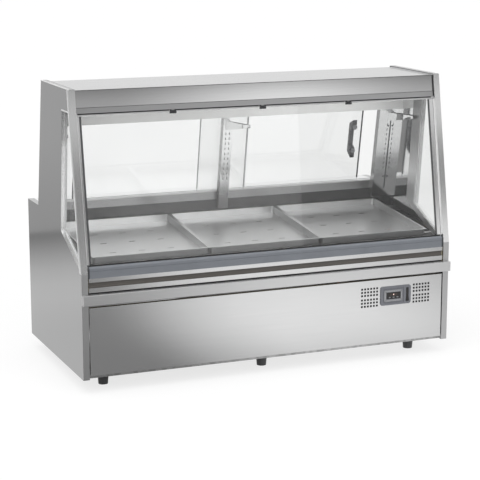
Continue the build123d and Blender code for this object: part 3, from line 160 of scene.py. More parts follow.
# sheet steel, brushed upright or along the counter
grainUp, grainAlong = (1400, 1400, 14), (14, 1400, 1400)
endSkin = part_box("end_panel_right")[1].x - 0.0005  # only the outer face of an end lies past this
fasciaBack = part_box("canopy_top")[0].y + 0.013765  # only the fascia lies before this
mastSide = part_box("centre_post")[0].x
brushedLook = {
    "side": {"tone": 0.60, "grain": grainUp, "rough": (0.09, 0.13)},
    "end": {"tone": 0.60, "grain": grainUp, "rough": (0.09, 0.13),
            "polish": ("X", endSkin, 0.46, 0.54)},
    "front": {"tone": 0.74, "grain": grainAlong, "rough": (0.20, 0.25)},
    "top": {"tone": 0.59, "grain": grainAlong, "rough": (0.26, 0.32),
            "polish": ("Y", fasciaBack, 0.10, 0.13)},
    # the ledge is a lighter copy of the top steel: painted light
    "ledge": {"tone": 0.92, "grain": grainAlong, "rough": (0.26, 0.32)},
    "trim": {"tone": 0.94, "grain": grainUp, "rough": (0.17, 0.23)},
    "liner": {"tone": 0.78, "grain": (900, 9, 900), "rough": (0.05, 0.09)},
    # the uprights carry painted shade, darker below 0.85 m
    "post": {"tone": 0.99, "grain": grainUp, "rough": (0.15, 0.21), "shade": [
        ("Z", 0.738, 0.85, [(0, 0.40), (0.33, 0.45), (0.66, 0.73), (1, 1.0)])]},
    # the centre post carries painted shade, darker towards its foot and on its left side face
    "mast": {"tone": 0.93, "grain": grainUp, "rough": (0.15, 0.21), "shade": [
        ("Z", 0.68, 0.836, [(0, 0.10), (0.245, 0.17), (0.49, 0.32), (0.75, 0.70), (1, 1.0)]),
        ("X", mastSide + 0.0001, mastSide + 0.0003, [(0, 0.42), (1, 1.0)])]},
    # the window linings carry painted shade, darker above 1.05 m
    "lining": {"tone": 0.96, "grain": grainAlong, "rough": (0.22, 0.28), "shade": [
        ("Z", 1.05, 1.085, [(0, 1.0), (1, 0.66)])]},
    # the window frames carry painted shade, darker upwards from 0.74 m
    "frame": {"tone": 0.99, "grain": grainUp, "rough": (0.36, 0.44), "shade": [
        ("Z", 0.74, 1.0, [(0.15, 1.0), (0.29, 0.86), (0.43, 0.71), (0.57, 0.59),
                          (0.7, 0.53), (0.84, 0.43), (1, 0.35)])]},
    "cap": {"tone": 0.42, "grain": (1400, 14, 1400), "rough": (0.24, 0.32)},
    "bumper": {"tone": 0.75, "grain": grainAlong, "rough": (0.44, 0.50)},
    # the tub steel is kept near black, painted shade in the chamber
    "tub": {"tone": 0.048, "grain": (9, 900, 900), "rough": (0.36, 0.44)},
    "pan": {"tone": 0.60, "grain": (14, 1200, 1200), "rough": (0.30, 0.33)},
}
# streaks of (level, warmth) and clouds that every brushed sheet has
strokeLook = {"coarse": 0.22, "streak": ((0.988, -0.003), (1.012, -0.001)), "cloud": 1.7,
              "sheen": (0.97, 1.0), "bump": (0.012, 0.0003)}


def brushedSteel(kind):
    look = brushedLook[kind]
    finish, tree, shader = newFinish("steel_" + kind)
    fine = noise(tree, objectMap(tree, look["grain"]), scale=1.0, detail=2.0)
    coarse = noise(tree, objectMap(tree, [s * strokeLook["coarse"] for s in look["grain"]]), scale=1.0)
    cloud = noise(tree, objectMap(tree), strokeLook["cloud"], detail=2.0)
    streak = tones(tree, coarse, [
        (at, grey(look["tone"] * gain, warm)) for at, (gain, warm) in zip(noiseSpan, strokeLook["streak"])])
    sheen = levels(tree, cloud, zip(noiseSpan, strokeLook["sheen"]))
    colour = shaded(tree, multiply(tree, streak, sheen), look)
    rough = span(tree, fine, *look["rough"])
    if "polish" in look:
        # another roughness before a plane, or inside a half width
        axis, edge, low, high = look["polish"]
        place = placeOf(tree)[axis]
        if axis == "X":
            place = combine(tree, "ABSOLUTE", place, 0)
        before = combine(tree, "LESS_THAN", place, edge)
        rough = either(tree, before, rough, span(tree, fine, low, high))
    feed(shader, {"Base Color": colour, "Roughness": rough, "Metallic": 1.0})
    relief(tree, shader, fine, *strokeLook["bump"])
    return finish


# moulded plastics and rubbers with a fine spark-eroded grain, painted and plated metals with faint stains
coatLook = {
    "moulded": {"stain": {"scale": 9.0, "detail": 5.0, "rough": 0.6}, "gains": (0.93, 1.07),
                "stops": (0.3, 0.72), "detail": 2.0},
    "plated": {"stain": {"scale": 7.0, "detail": 5.0, "rough": 0.62}, "gains": (0.95, 1.03),
               "stops": noiseSpan, "detail": 3.0},
    "bump": 0.0006,
}
mouldLook = {
    "profile_grey": {"tone": (0.200, 0.214, 0.238), "rough": (0.36, 0.46), "grain": 900, "lift": 0.05},
    "cap_black": {"tone": (0.055, 0.058, 0.063), "rough": (0.45, 0.58), "grain": 1100, "lift": 0.12},
    "rubber_black": {"tone": (0.022, 0.022, 0.023), "rough": (0.60, 0.75), "grain": 700, "lift": 0.10},
    # the grey seals carry painted shade above 1.05 m, as the linings do
    "rubber_clear": {"tone": (0.91, 0.91, 0.915), "rough": (0.40, 0.52), "grain": 700, "lift": 0.08,
                     "shade": [("Z", 1.05, 1.085, [(0, 1.0), (1, 0.78)])]},
    # the front glass seals are black with a pale band painted from 1.156 to 1.205 m: a painted highlight
    "seal_highlight_band": {"tone": (0.62, 0.62, 0.625), "rough": (0.60, 0.75), "grain": 700, "lift": 0.10,
                 "shade": [("Z", 1.15, 1.21, [(0, 0.036), (0.1, 1.0), (0.91, 1.0), (0.93, 0.036)])]},
    "border_black": {"tone": (0.078, 0.079, 0.082), "rough": (0.45, 0.58), "grain": 900, "lift": 0.06},
    "foot_black": {"tone": (0.098, 0.099, 0.102), "rough": (0.34, 0.46), "grain": 800, "lift": 0.10},
    "control_grey": {"tone": (0.200, 0.206, 0.230), "rough": (0.40, 0.50), "grain": 1500, "lift": 0.10},
    "control_black": {"tone": (0.020, 0.019, 0.020), "rough": (0.16, 0.26), "grain": 900, "lift": 0.02},
    "key_grey": {"tone": (0.27, 0.27, 0.28), "rough": (0.42, 0.52), "grain": 1500, "lift": 0.06},
    "handle_black": {"tone": (0.055, 0.056, 0.062), "rough": (0.38, 0.50), "grain": 1200, "lift": 0.10},
    "groove_shade": {"tone": (0.108, 0.099, 0.090), "rough": (0.42, 0.52), "grain": 900, "lift": 0.05},
    "cap_grey": {"tone": (0.26, 0.26, 0.27), "rough": (0.40, 0.50), "grain": 1200, "lift": 0.06},
    "edge_grey": {"tone": (0.45, 0.45, 0.46), "rough": (0.40, 0.50), "grain": 1200, "lift": 0.06},
    "seam_shade_grey": {"tone": (0.14, 0.14, 0.145), "rough": (0.45, 0.58), "grain": 900, "lift": 0.06},
    "rim_grey": {"tone": (0.34, 0.345, 0.36), "rough": (0.34, 0.44), "grain": 1500, "lift": 0.06},
    "vent_shade_black": {"tone": (0.012, 0.012, 0.013), "rough": (0.80, 0.95), "grain": 380, "lift": 0.60},
    "foam_cream": {"tone": (0.70, 0.63, 0.45), "rough": (0.80, 0.95), "grain": 260, "lift": 0.50},
}
plateLook = {
    "white_sheet": {"tone": (0.74, 0.74, 0.735), "rough": (0.30, 0.40), "grain": 420, "lift": 0.05},
    # the lamp housing carries painted shade, darker towards its left end
    "lamp_sheet": {"tone": (0.97, 0.97, 0.965), "rough": (0.30, 0.40), "grain": 420, "lift": 0.05, "shade": [
        ("X", -0.85, 0.85, [(0.06, 0.66), (0.32, 0.75), (0.45, 0.84), (0.6, 0.97), (0.7, 1.0)])]},
    "black_paint": {"tone": (0.020, 0.020, 0.022), "rough": (0.28, 0.42), "grain": 350, "lift": 0.08},
    # white paint on the edge rods and post folds: painted highlights
    "highlight_white": {"tone": (0.97, 0.97, 0.97), "rough": (0.22, 0.30), "grain": 900, "lift": 0.02},
    "dark_metal": {"tone": (0.045, 0.045, 0.048), "rough": (0.34, 0.46), "grain": 800, "lift": 0.06,
                   "metal": 0.4},
    # the lower door rail carries a painted highlight on its lip above 0.739 m and painted shade on its front
    # below, darker to the left
    "rail_low": {"tone": (0.93, 0.93, 0.935), "rough": (0.28, 0.38), "grain": 700, "lift": 0.03, "metal": 1.0,
                 "shade": [("Z", 0.735, 0.739, [(0, 0.38), (1, 1.0)]),
                           ("X", -0.2, 0.65, [(0, 0.8), (1, 1.0)])]},
    "rail_alloy": {"tone": (0.25, 0.25, 0.26), "rough": (0.28, 0.38), "grain": 700, "lift": 0.03,
                   "metal": 1.0},
    "rail_bright": {"tone": (0.55, 0.55, 0.555), "rough": (0.48, 0.56), "grain": 700, "lift": 0.03,
                    "metal": 1.0},
    "coil_alloy": {"tone": (0.60, 0.61, 0.62), "rough": (0.34, 0.48), "grain": 600, "lift": 0.06,
                   "metal": 1.0},
    "copper": {"tone": (0.72, 0.36, 0.20), "rough": (0.24, 0.42), "grain": 300, "lift": 0.04, "metal": 1.0},
    "screw_zinc": {"tone": (0.50, 0.50, 0.51), "rough": (0.25, 0.38), "grain": 900, "lift": 0.03,
                   "metal": 1.0},
}


def coated(way, kind, look):
    coat = coatLook[way]
    finish, tree, shader = newFinish(way + "_" + kind)
    stain = noise(tree, objectMap(tree), **coat["stain"])
    colour = vary(tree, stain, look["tone"], coat["gains"], coat["stops"])
    feed(shader, {
        "Base Color": shaded(tree, colour, look),
        "Roughness": span(tree, stain, *look["rough"]),
        "Metallic": look.get("metal", 0.0),
    })
    grain = noise(tree, objectMap(tree), look["grain"], coat["detail"])
    relief(tree, shader, grain, look["lift"], coatLook["bump"])
    return finish


def moulded(kind):
    return coated("moulded", kind, mouldLook[kind])


def plated(kind):
    return coated("plated", kind, plateLook[kind])


# zinc with its flower pattern
zincLook = {"tone": 0.50, "gains": (0.80, 1.15), "flower": 55.0, "rough": (0.34, 0.52), "metal": 0.95}


def zinc():
    finish, tree, shader = newFinish("zinc_sheet")
    flower = addNode(tree, "ShaderNodeTexVoronoi")
    feed(flower, {"Scale": zincLook["flower"], "Vector": objectMap(tree)})
    spangle = addNode(tree, "ShaderNodeSeparateColor")
    feed(spangle, {"Color": flower.outputs["Color"]})
    feed(shader, {
        "Base Color": vary(tree, spangle.outputs["Red"], grey(zincLook["tone"]), zincLook["gains"], (0, 1)),
        "Roughness": span(tree, spangle.outputs["Green"], *zincLook["rough"]),
        "Metallic": zincLook["metal"],
    })
    return finish


# clear float glass: shadow rays pass straight through
glassLook = {"tone": (0.914, 0.918, 0.916), "front": 1.46, "side": 1.15, "wipe": (3, 3, 9),
             "smear": (0.0, 0.02)}


def clearGlass(kind):
    finish, tree, shader = newFinish("glass_" + kind)
    wipe = noise(tree, objectMap(tree, glassLook["wipe"]), scale=2.0, detail=4.0)
    feed(shader, {
        "Base Color": (*glassLook["tone"], 1.0),
        "Roughness": span(tree, wipe, *glassLook["smear"]),
        "IOR": glassLook[kind],
        "Transmission Weight": 1.0,
    })
    through = addNode(tree, "ShaderNodeBsdfTransparent")
    path = addNode(tree, "ShaderNodeLightPath")
    mix = addNode(tree, "ShaderNodeMixShader")
    feed(mix, {"Fac": path.outputs["Is Shadow Ray"], 1: shader.outputs["BSDF"], 2: through.outputs["BSDF"]})
    feed(tree.nodes["Material Output"], {"Surface": mix.outputs["Shader"]})
    return finish


# lamp cover: ribbed along its length, lit from inside
lampLook = {"tone": (0.90, 0.90, 0.88), "gains": (0.94, 1.0), "glow": 0.7, "ribs": 260.0,
            "bump": (0.3, 0.001), "rough": 0.45}


def lampCover():
    finish, tree, shader = newFinish("lamp_cover")
    ribs = addNode(tree, "ShaderNodeTexWave", bands_direction="Y")
    feed(ribs, {"Scale": lampLook["ribs"], "Vector": objectMap(tree)})
    feed(shader, {
        "Base Color": vary(tree, ribs.outputs["Fac"], lampLook["tone"], lampLook["gains"], (0, 1)),
        "Roughness": lampLook["rough"],
        "Emission Color": (*lampLook["tone"], 1.0),
        "Emission Strength": lampLook["glow"],
    })
    relief(tree, shader, ribs.outputs["Fac"], *lampLook["bump"])
    return finish


finishes = {
    "galvanised": zinc(),
    "black_plastic": moulded("cap_black"),
    "brushed_side": brushedSteel("side"),
    "brushed_front": brushedSteel("front"),
    "brushed_top": brushedSteel("top"),
    "bright_trim": brushedSteel("trim"),
    "polished_liner": brushedSteel("liner"),
    "pan_steel": brushedSteel("pan"),
    "foam": moulded("foam_cream"),
    "clear_glass": clearGlass("front"),
    "black_rubber": moulded("rubber_black"),
    "grey_rubber": moulded("rubber_clear"),
    "white_sheet": plated("white_sheet"),
    "lamp_white": lampCover(),
    "grey_plastic": moulded("profile_grey"),
    "dark_metal": plated("dark_metal"),
    "coil_aluminium": plated("coil_alloy"),
    "black_paint": plated("black_paint"),
    "copper": plated("copper"),
    "control_grey": moulded("control_grey"),
    "control_black": moulded("control_black"),
    "key_grey": moulded("key_grey"),
    "rail_aluminium": plated("rail_alloy"),
    "handle_black": moulded("handle_black"),
}
# some nodes read brighter, darker or duller than the rest of their slot
ownFinish = {
    "upper_glass_rail": plated("rail_bright"),
    "tub_liner": brushedSteel("tub"),
    "bumper_rail": brushedSteel("bumper"),
    "levelling_feet": moulded("foot_black"),
    "front_glass_seals": moulded("seal_highlight_band"),
    "centre_post": brushedSteel("mast"),
    "rear_ledge": brushedSteel("ledge"),
    "lamp_housing": plated("lamp_sheet"),
    "door_rail_bottom": plated("rail_low"),
}
pairFinish = {
    "rear_upright": brushedSteel("post"),
    "end_panel": brushedSteel("end"),
    "side_glass": clearGlass("side"),
}
for pair, finish in pairFinish.items():
    ownFinish[pair + "_left"] = finish
    ownFinish[pair + "_right"] = finish
for part in frame["record"]["subparts"]:
    for slot in cad[part["node"]].material_slots:
        slot.material = ownFinish.get(part["node"], finishes[part["material_slot"]])
highlightFinish = plated("highlight_white")
print("finishes set:", len(finishes))


# pieces: mesh at the origin, riding on one body
def addPiece(name, bm, finish, body, smooth=None):
    bmesh.ops.remove_doubles(bm, verts=bm.verts, dist=0.00001)
    bmesh.ops.recalc_face_normals(bm, faces=bm.faces)
    mesh = bpy.data.meshes.new(name)
    bm.to_mesh(mesh)
    bm.free()
    mesh.materials.append(finish)
    if smooth:
        mesh.shade_smooth()
        mesh.set_sharp_from_angle(angle=math.radians(smooth))
    piece = bpy.data.objects.new(name, mesh)
    bpy.context.scene.collection.objects.link(piece)
    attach(piece, body)


def read(look, *keys):
    return [look[key] for key in keys]


stood = Matrix.Rotation(math.radians(90), 3, "X")  # turns a flat sheet upright


# flat sheet about the origin
def plane(half):
    bm = bmesh.new()
    bmesh.ops.create_grid(bm, x_segments=1, y_segments=1, size=1.0)
    bmesh.ops.scale(bm, vec=(*half, 1), verts=bm.verts)
    return bm


def newVerts(made):
    return [item for item in made["geom"] if isinstance(item, bmesh.types.BMVert)]


# outline in (y, z), drawn out along X
def drawOut(bm, outline, start, stop):
    face = bm.faces.new([bm.verts.new((start, y, z)) for y, z in outline])
    made = bmesh.ops.extrude_face_region(bm, geom=[face])
    bmesh.ops.translate(bm, vec=(stop - start, 0, 0), verts=newVerts(made))


# outline of (x, depth) pairs, drawn out along a slanting line
def drawAlong(bm, outline, start, along, out):
    ring = [bm.verts.new(start + Vector((x, 0, 0)) + out * depth) for x, depth in outline]
    made = bmesh.ops.extrude_face_region(bm, geom=[bm.faces.new(ring)])
    bmesh.ops.translate(bm, vec=along, verts=newVerts(made))


# profile of (radius, height) pairs turned about an axis
def turned(bm, profile, place, facing, steps):
    older = set(bm.verts)
    ring = [bm.verts.new((radius, 0, height)) for radius, height in profile]
    edges = [bm.edges.new(pair) for pair in zip(ring, ring[1:])]
    bmesh.ops.spin(
        bm, geom=ring + edges, cent=(0, 0, 0), axis=(0, 0, 1), angle=math.tau, steps=steps, use_merge=True)
    fresh = [v for v in bm.verts if v not in older]
    turn = Vector(facing).to_track_quat("Z", "Y").to_matrix().to_4x4()
    bmesh.ops.transform(bm, matrix=Matrix.Translation(place) @ turn, verts=fresh)


def rod(bm, start, stop, radius, sides):
    start, stop = Vector(start), Vector(stop)
    turn = (stop - start).to_track_quat("Z", "Y").to_matrix().to_4x4()
    bmesh.ops.create_cone(
        bm, cap_ends=True, segments=sides, radius1=radius, radius2=radius, depth=(stop - start).length,
        matrix=Matrix.Translation((start + stop) / 2) @ turn)


# low head with a sunk drive, in shares of its radius and height
headLook = {"taper": 0.82, "rim": 0.38, "sunk": 0.6}


def screwHead(bm, place, facing, look):
    turn = facing.to_track_quat("Z", "Y").to_matrix().to_4x4()
    made = bmesh.ops.create_cone(
        bm, cap_ends=True, segments=look["sides"], radius1=look["radius"],
        radius2=look["radius"] * headLook["taper"], depth=look["height"],
        matrix=Matrix.Translation(place) @ turn)
    faces = {face for v in made["verts"] for face in v.link_faces}
    top = max(faces, key=lambda face: face.calc_center_median().dot(facing))
    bmesh.ops.inset_region(bm, faces=[top], thickness=look["radius"] * headLook["rim"])
    sunk = bmesh.ops.extrude_face_region(bm, geom=[top])
    bmesh.ops.translate(bm, vec=facing * -look["height"] * headLook["sunk"], verts=newVerts(sunk))


def corners(name):
    return [v.co for v in cad[name].data.vertices]


sameHeight = 0.0005  # points this close count as level


# front or rear of some points at one height
def edgeAt(points, z, pick):
    return pick(p.y for p in points if abs(p.z - z) < sameHeight)


# dark strip that lines the groove of the apron, painted shade in the groove
grooveLook = {"band": 0.0175, "tall": 0.024, "back": 0.0119, "front": 0.0055, "lip": 0.004,
              "dish": 0.0022, "ease": 0.0003}


def lineGroove():
    low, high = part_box("front_apron")
    band, tall, ease, lip, dish = read(grooveLook, "band", "tall", "ease", "lip", "dish")
    bottom, top = high.z - band - tall + ease, high.z - band - ease
    back, front = low.y + grooveLook["back"], low.y + grooveLook["front"]
    outline = [
        (back, bottom), (front, bottom), (front, bottom + lip), (front + dish, bottom + lip + dish),
        (front + dish, top - lip - dish), (front, top - lip), (front, top), (back, top)]
    bm = bmesh.new()
    drawOut(bm, outline, low.x, high.x)
    addPiece("groove_strip", bm, moulded("groove_shade"), "case")


# black strip in the gap between apron and bumper, painted shade in the gap
lipLook = {"gap": 0.0065, "front": 0.003, "back": 0.0122, "nose": 0.002, "ease": 0.0003}


def shadeApronGap():
    low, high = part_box("front_apron")
    bottom, top = low.z + lipLook["ease"], low.z + lipLook["gap"] - lipLook["ease"]
    front, back, nose = low.y + lipLook["front"], low.y + lipLook["back"], lipLook["nose"]
    outline = [
        (back, bottom), (front + nose, bottom), (front, bottom + nose),
        (front, top - nose), (front + nose, top), (back, top)]
    bm = bmesh.new()
    drawOut(bm, outline, low.x, high.x)
    addPiece("apron_gap_shade", bm, finishes["black_rubber"], "case")


# flat dark pads behind the vents, in cells with a narrow rim: painted shade behind the holes
ventShadeLook = {"shift": 0.1356, "half": (0.052, 0.058), "cells": 8, "sheet": 0.0014, "thick": 0.005,
              "rim": 0.006}


def backVents():
    low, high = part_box("control_housing")
    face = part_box("front_panel")[0].y + ventShadeLook["sheet"]
    cells = ventShadeLook["cells"]
    bm = bmesh.new()
    for side in (-1, 1):
        verts = bmesh.ops.create_grid(bm, x_segments=cells, y_segments=cells, size=1.0)["verts"]
        bmesh.ops.scale(bm, vec=(*ventShadeLook["half"], 1), verts=verts)
        bmesh.ops.rotate(bm, matrix=stood, verts=verts)
        middle = ((low.x + high.x) / 2 + side * ventShadeLook["shift"], face, (low.z + high.z) / 2)
        bmesh.ops.translate(bm, vec=middle, verts=verts)
        pad = list({f for v in verts for f in v.link_faces})
        bmesh.ops.inset_region(bm, faces=pad, thickness=ventShadeLook["rim"], depth=0.0, use_boundary=True)
        out = bmesh.ops.extrude_face_region(bm, geom=list({f for v in verts for f in v.link_faces}))
        bmesh.ops.translate(bm, vec=(0, ventShadeLook["thick"], 0), verts=newVerts(out))
    addPiece("vent_shade_pads", bm, moulded("vent_shade_black"), "case")


# the doors, uprights and centre post lean over the chamber
lean = math.radians(9.92)
leanUp = Vector((0, -math.sin(lean), math.cos(lean)))
leanBack = Vector((0, math.cos(lean), math.sin(lean)))  # away from the chamber
doorGlass = 0.005  # thickness of the panes

# round caps over the handle screws, on the chamber side of the outer door
capLook = {"radius": 0.0125, "height": 0.004, "rim": 0.0012, "dimple": 0.004, "pitch": 0.122,
           "off": 0.0002, "steps": 20}


def doorFace(name, z):
    low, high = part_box(name)
    middle = (low + high) / 2
    return middle.y - (z - middle.z) * math.tan(lean) - doorGlass / 2 / math.cos(lean)


def capHandle():
    low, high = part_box("door_handle")
    middle = (low + high) / 2
    radius, height, rim, dimple = read(capLook, "radius", "height", "rim", "dimple")
    profile = [
        (0, 0), (radius, 0), (radius, height - rim), (radius - rim, height),
        (dimple, height), (dimple, height / 3), (0, height / 3)]
    bm = bmesh.new()
    for side in (-1, 1):
        z = middle.z + side * capLook["pitch"] / 2 * math.cos(lean)
        place = (middle.x, doorFace("door_right", z) - capLook["off"], z)
        turned(bm, profile, place, -leanBack, capLook["steps"])
    addPiece("handle_caps", bm, moulded("cap_grey"), "right_door", smooth=40)


# channels on the upright edges of each door, dark on the leading and grey on the trailing edge,
# with the wrap of each
edgeLook = {"door_right": (0.005, 0.003), "door_left": (0.005, 0.006), "gauge": 0.0008, "off": 0.0001,
            "trim": 0.030}


def trimDoors():
    gauge, off = read(edgeLook, "gauge", "off")
    half = doorGlass / 2 + off
    kinds = (
        ("_edges", finishes["handle_black"], "handle_black"),
        ("_tails", moulded("edge_grey"), "control_grey"))
    for name, body, lead in (("door_right", "right_door", 1), ("door_left", "left_door", -1)):
        low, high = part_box(name)
        reach = (high.z - low.z) / 2 / math.cos(lean) - edgeLook["trim"]
        start = (low + high) / 2 - leanUp * reach
        start.x = 0
        for way, wrap, (part, finish, slot) in zip((lead, -lead), edgeLook[name], kinds):
            edge = high.x if way > 0 else low.x
            outline = [
                (-wrap, half), (off, half), (off, -half), (-wrap, -half),
                (-wrap, -half - gauge), (gauge, -half - gauge), (gauge, half + gauge), (-wrap, half + gauge)]
            channel = [(edge + way * x, depth) for x, depth in outline]
            bm = bmesh.new()
            drawAlong(bm, channel, start, leanUp * reach * 2, leanBack)
            addPiece(name + part, bm, finish, body)


# strips down both sides of the front glass, steel at the edge and a dark line inside it,
# each from and to a distance from the edge of the glass
borderLook = {
    "thick": 0.0008, "bead": 0.0006, "short": 0.002, "gauge": 0.0012, "lip": 0.0036, "off": 0.0001,
    "wall": 0.029,
    "strips": {
        "glass_borders": {-1: (0.009, 0.018), 1: (0.0195, 0.0285)},
        "glass_edge_trims": {-1: (0.0, 0.009), 1: (0.0, 0.0195)},
    },
}


def borderGlass():
    post = corners("front_post_left")
    bottom, top = min(p.z for p in post), max(p.z for p in post)
    slope = (edgeAt(post, top, min) - edgeAt(post, bottom, min)) / (top - bottom)
    face = min(p.y - p.z * slope for p in corners("front_glass"))
    low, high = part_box("front_glass")
    out = Vector((0, -1, slope)).normalized()
    first, last = low.z + borderLook["short"], high.z - borderLook["short"]
    start = Vector((0, face + first * slope, first))
    along = Vector((0, (last - first) * slope, last - first))
    thick, bead, off = read(borderLook, "thick", "bead", "off")
    kinds = {
        "glass_borders": (moulded("border_black"), "black_rubber"),
        "glass_edge_trims": (finishes["bright_trim"], "bright_trim"),
    }
    for name, strips in borderLook["strips"].items():
        bm = bmesh.new()
        for way, (near, far) in strips.items():
            outline = [
                (near, off), (far, off), (far, thick), (far - bead, thick + bead),
                (near + bead, thick + bead), (near, thick)]
            drawAlong(bm, [(way * (high.x - x), depth) for x, depth in outline], start, along, out)
        finish, slot = kinds[name]
        addPiece(name, bm, finish, "front_glass")
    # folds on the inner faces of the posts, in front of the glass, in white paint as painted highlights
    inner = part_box("front_post_right")[1].x - borderLook["wall"]
    gauge, lip = read(borderLook, "gauge", "lip")
    ahead = max((p - start).dot(out) for p in post)
    outline = [
        (off, gauge), (lip, gauge), (lip, gauge * 3), (gauge, gauge * 4),
        (gauge, ahead - gauge), (gauge / 2, ahead - gauge / 2), (off, ahead - gauge)]
    bm = bmesh.new()
    for way in (-1, 1):
        drawAlong(bm, [(way * (inner - x), depth) for x, depth in outline], start, along, out)
    addPiece("post_fold_highlights", bm, highlightFinish, "case")


# bright lining of the side window openings, with painted shade towards its top
liningLook = {"ease": 0.0002, "gauge": 0.0008, "depth": 0.0155, "sunk": 0.0005}


def openingOf():
    seal = corners("side_glass_seals")
    top = max(p.z for p in seal)
    head = [p for p in seal if abs(p.z - top) < sameHeight]
    rear = max(seal, key=lambda p: p.y)
    sill = min(seal, key=lambda p: p.z)
    return [sill, rear, max(head, key=lambda p: p.y), min(head, key=lambda p: p.y)]


def insetRing(bm, faces, thickness):
    return bmesh.ops.inset_region(bm, faces=faces, thickness=thickness, use_boundary=True)["faces"]


def lineWindows():
    outline = openingOf()
    half = -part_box("end_panel_left")[0].x - liningLook["sunk"]
    bm = bmesh.new()
    for way in (-1, 1):
        face = bm.faces.new([bm.verts.new((way * half, p.y, p.z)) for p in outline])
        waste = insetRing(bm, [face], liningLook["ease"])
        ring = insetRing(bm, [face], liningLook["gauge"])
        bmesh.ops.delete(bm, geom=waste + [face], context="FACES")
        made = bmesh.ops.extrude_face_region(bm, geom=ring)
        bmesh.ops.translate(bm, vec=(-way * liningLook["depth"], 0, 0), verts=newVerts(made))
    addPiece("window_linings", bm, brushedSteel("lining"), "case")


# flat strips behind and below the openings, on the inner sheets, with painted shade darker upwards
frameLook = {"back": 0.073, "under": 0.028, "gauge": 0.0008, "off": 0.0001}


def frameWindows():
    sill, rear, head = [Vector((0, p.y, p.z)) for p in openingOf()[:3]]
    rise, run = (head - rear).normalized(), (sill - rear).normalized()
    behind = Vector((0, rise.z, -rise.y)) * frameLook["back"]
    below = Vector((0, -run.z, run.y)) * frameLook["under"]
    outline = [head, rear, sill, sill + below, rear + below, rear + behind, head + behind]
    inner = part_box("end_liner_right")[0].x
    bm = bmesh.new()
    for way in (-1, 1):
        near, far = way * (inner - frameLook["off"]), way * (inner - frameLook["gauge"])
        drawOut(bm, [(p.y, p.z) for p in outline], near, far)
    addPiece("window_frames", bm, brushedSteel("frame"), "case")


# a point below the head of a leaning post, its x measured from the side away from the middle
def belowHead(name, inset, drop):
    low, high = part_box(name)
    x = low.x + inset if high.x < 0 else high.x - inset
    return Vector((x, low.y, high.z)) - leanUp * drop


# the same point, moved onto the face toward the chamber
def onFace(name, inset, drop):
    place = belowHead(name, inset, drop)
    return place + leanBack * (min(p.dot(leanBack) for p in corners(name)) - place.dot(leanBack))


# channels behind the slots, dark in the uprights as painted shade and pale in the centre post: inset, half
# width, finish
backLook = {
    "top": 0.012, "long": 0.325, "behind": 0.010, "lip": 0.003, "gauge": 0.001,
    "posts": {
        "rear_upright_left": (0.016, 0.006, "dark_metal"),
        "rear_upright_right": (0.016, 0.006, "dark_metal"),
        "centre_post": (0.024, 0.015, "white_sheet"),
    },
}


def backSlots():
    lip, gauge = read(backLook, "lip", "gauge")
    for name, (inset, half, finish) in backLook["posts"].items():
        outline = [
            (-half, lip), (-half, 0), (half, 0), (half, lip),
            (half - gauge, lip), (half - gauge, gauge), (gauge - half, gauge), (gauge - half, lip)]
        start = belowHead(name, inset, backLook["top"]) + leanBack * backLook["behind"]
        bm = bmesh.new()
        drawAlong(bm, outline, start, -leanUp * backLook["long"], leanBack)
        addPiece(name + "_back", bm, finishes[finish], "case")


# black line down each upright, where it meets the liner: painted shade in the joint
shadeLineLook = {"inset": 0.0017, "half": 0.0016, "gauge": 0.0004, "off": 0.0001, "top": 0.03, "long": 0.40}


def markUprights():
    half, gauge, off = read(shadeLineLook, "half", "gauge", "off")
    outline = [(-half, -off), (gauge - half, -gauge), (half - gauge, -gauge), (half, -off)]
    bm = bmesh.new()
    for name in ("rear_upright_left", "rear_upright_right"):
        start = onFace(name, shadeLineLook["inset"], shadeLineLook["top"])
        drawAlong(bm, outline, start, -leanUp * shadeLineLook["long"], leanBack)
    addPiece("upright_shade_lines", bm, finishes["black_rubber"], "case")


# white rods on the folded edges of the ends as painted highlights, a dull cap on top of each, a dark seam of
# painted shade on its inner side
beadLook = {"top": 0.0028, "post": 0.0022, "head": 0.0038, "sides": 8, "sunk": 0.0004}
endCapLook = {"wide": 0.0285, "clear": 0.003, "off": 0.0001, "edge": 0.0006, "crown": 0.0012}
seamLook = {"radius": 0.0016, "sink": 0.0012, "sides": 8}


def beadEdges():
    bm, caps, seams = bmesh.new(), bmesh.new(), bmesh.new()
    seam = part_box("front_post_left")[0].z
    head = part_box("side_glass_seals")[1].z
    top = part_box("end_panel_left")[1].z
    half = -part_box("end_panel_left")[0].x
    post, panel = corners("front_post_left"), corners("end_panel_left")
    front, back = edgeAt(post, top, min), edgeAt(panel, top, max)
    # ends of each rod in (y, z)
    rods = {
        "top": ((front, top), (back, top)),
        "post": ((edgeAt(post, seam, max), seam), (edgeAt(post, top, max), top)),
        "head": ((edgeAt(panel, head, min), head), (edgeAt(panel, head, max), head)),
    }
    off, edge, crown = read(endCapLook, "off", "edge", "crown")
    joint = top - seamLook["sink"]
    for way in (-1, 1):
        x = way * (half - beadLook["sunk"])
        for key, (start, stop) in rods.items():
            rod(bm, (x, *start), (x, *stop), beadLook[key], beadLook["sides"])
        inner = way * (half - endCapLook["wide"])
        # the dark rod in the inner joint of each cap is painted shade
        rod(seams, (inner, front, joint), (inner, back, joint), seamLook["radius"], seamLook["sides"])
        low, high = sorted((x - way * endCapLook["clear"], inner + way * endCapLook["clear"]))
        outline = [(low, off), (high, off), (high, edge), ((low + high) / 2, crown), (low, edge)]
        drawAlong(caps, outline, Vector((0, front, top)), Vector((0, back - front, 0)), Vector((0, 0, 1)))
    addPiece("edge_bead_highlights", bm, highlightFinish, "case", smooth=60)
    addPiece("cap_shade_seams", seams, moulded("seam_shade_grey"), "case", smooth=60)
    addPiece("end_caps", caps, brushedSteel("cap"), "case")


# black strips at the joints of the fascia: under it, along its top edge and where it meets the posts, painted
# shade in these joints
jointLook = {"tall": 0.0022, "proud": 0.0006, "deep": 0.004, "short": 0.001, "ridge": 0.0012, "sides": 6,
             "end": 0.0035, "rise": 0.002, "off": 0.0001}


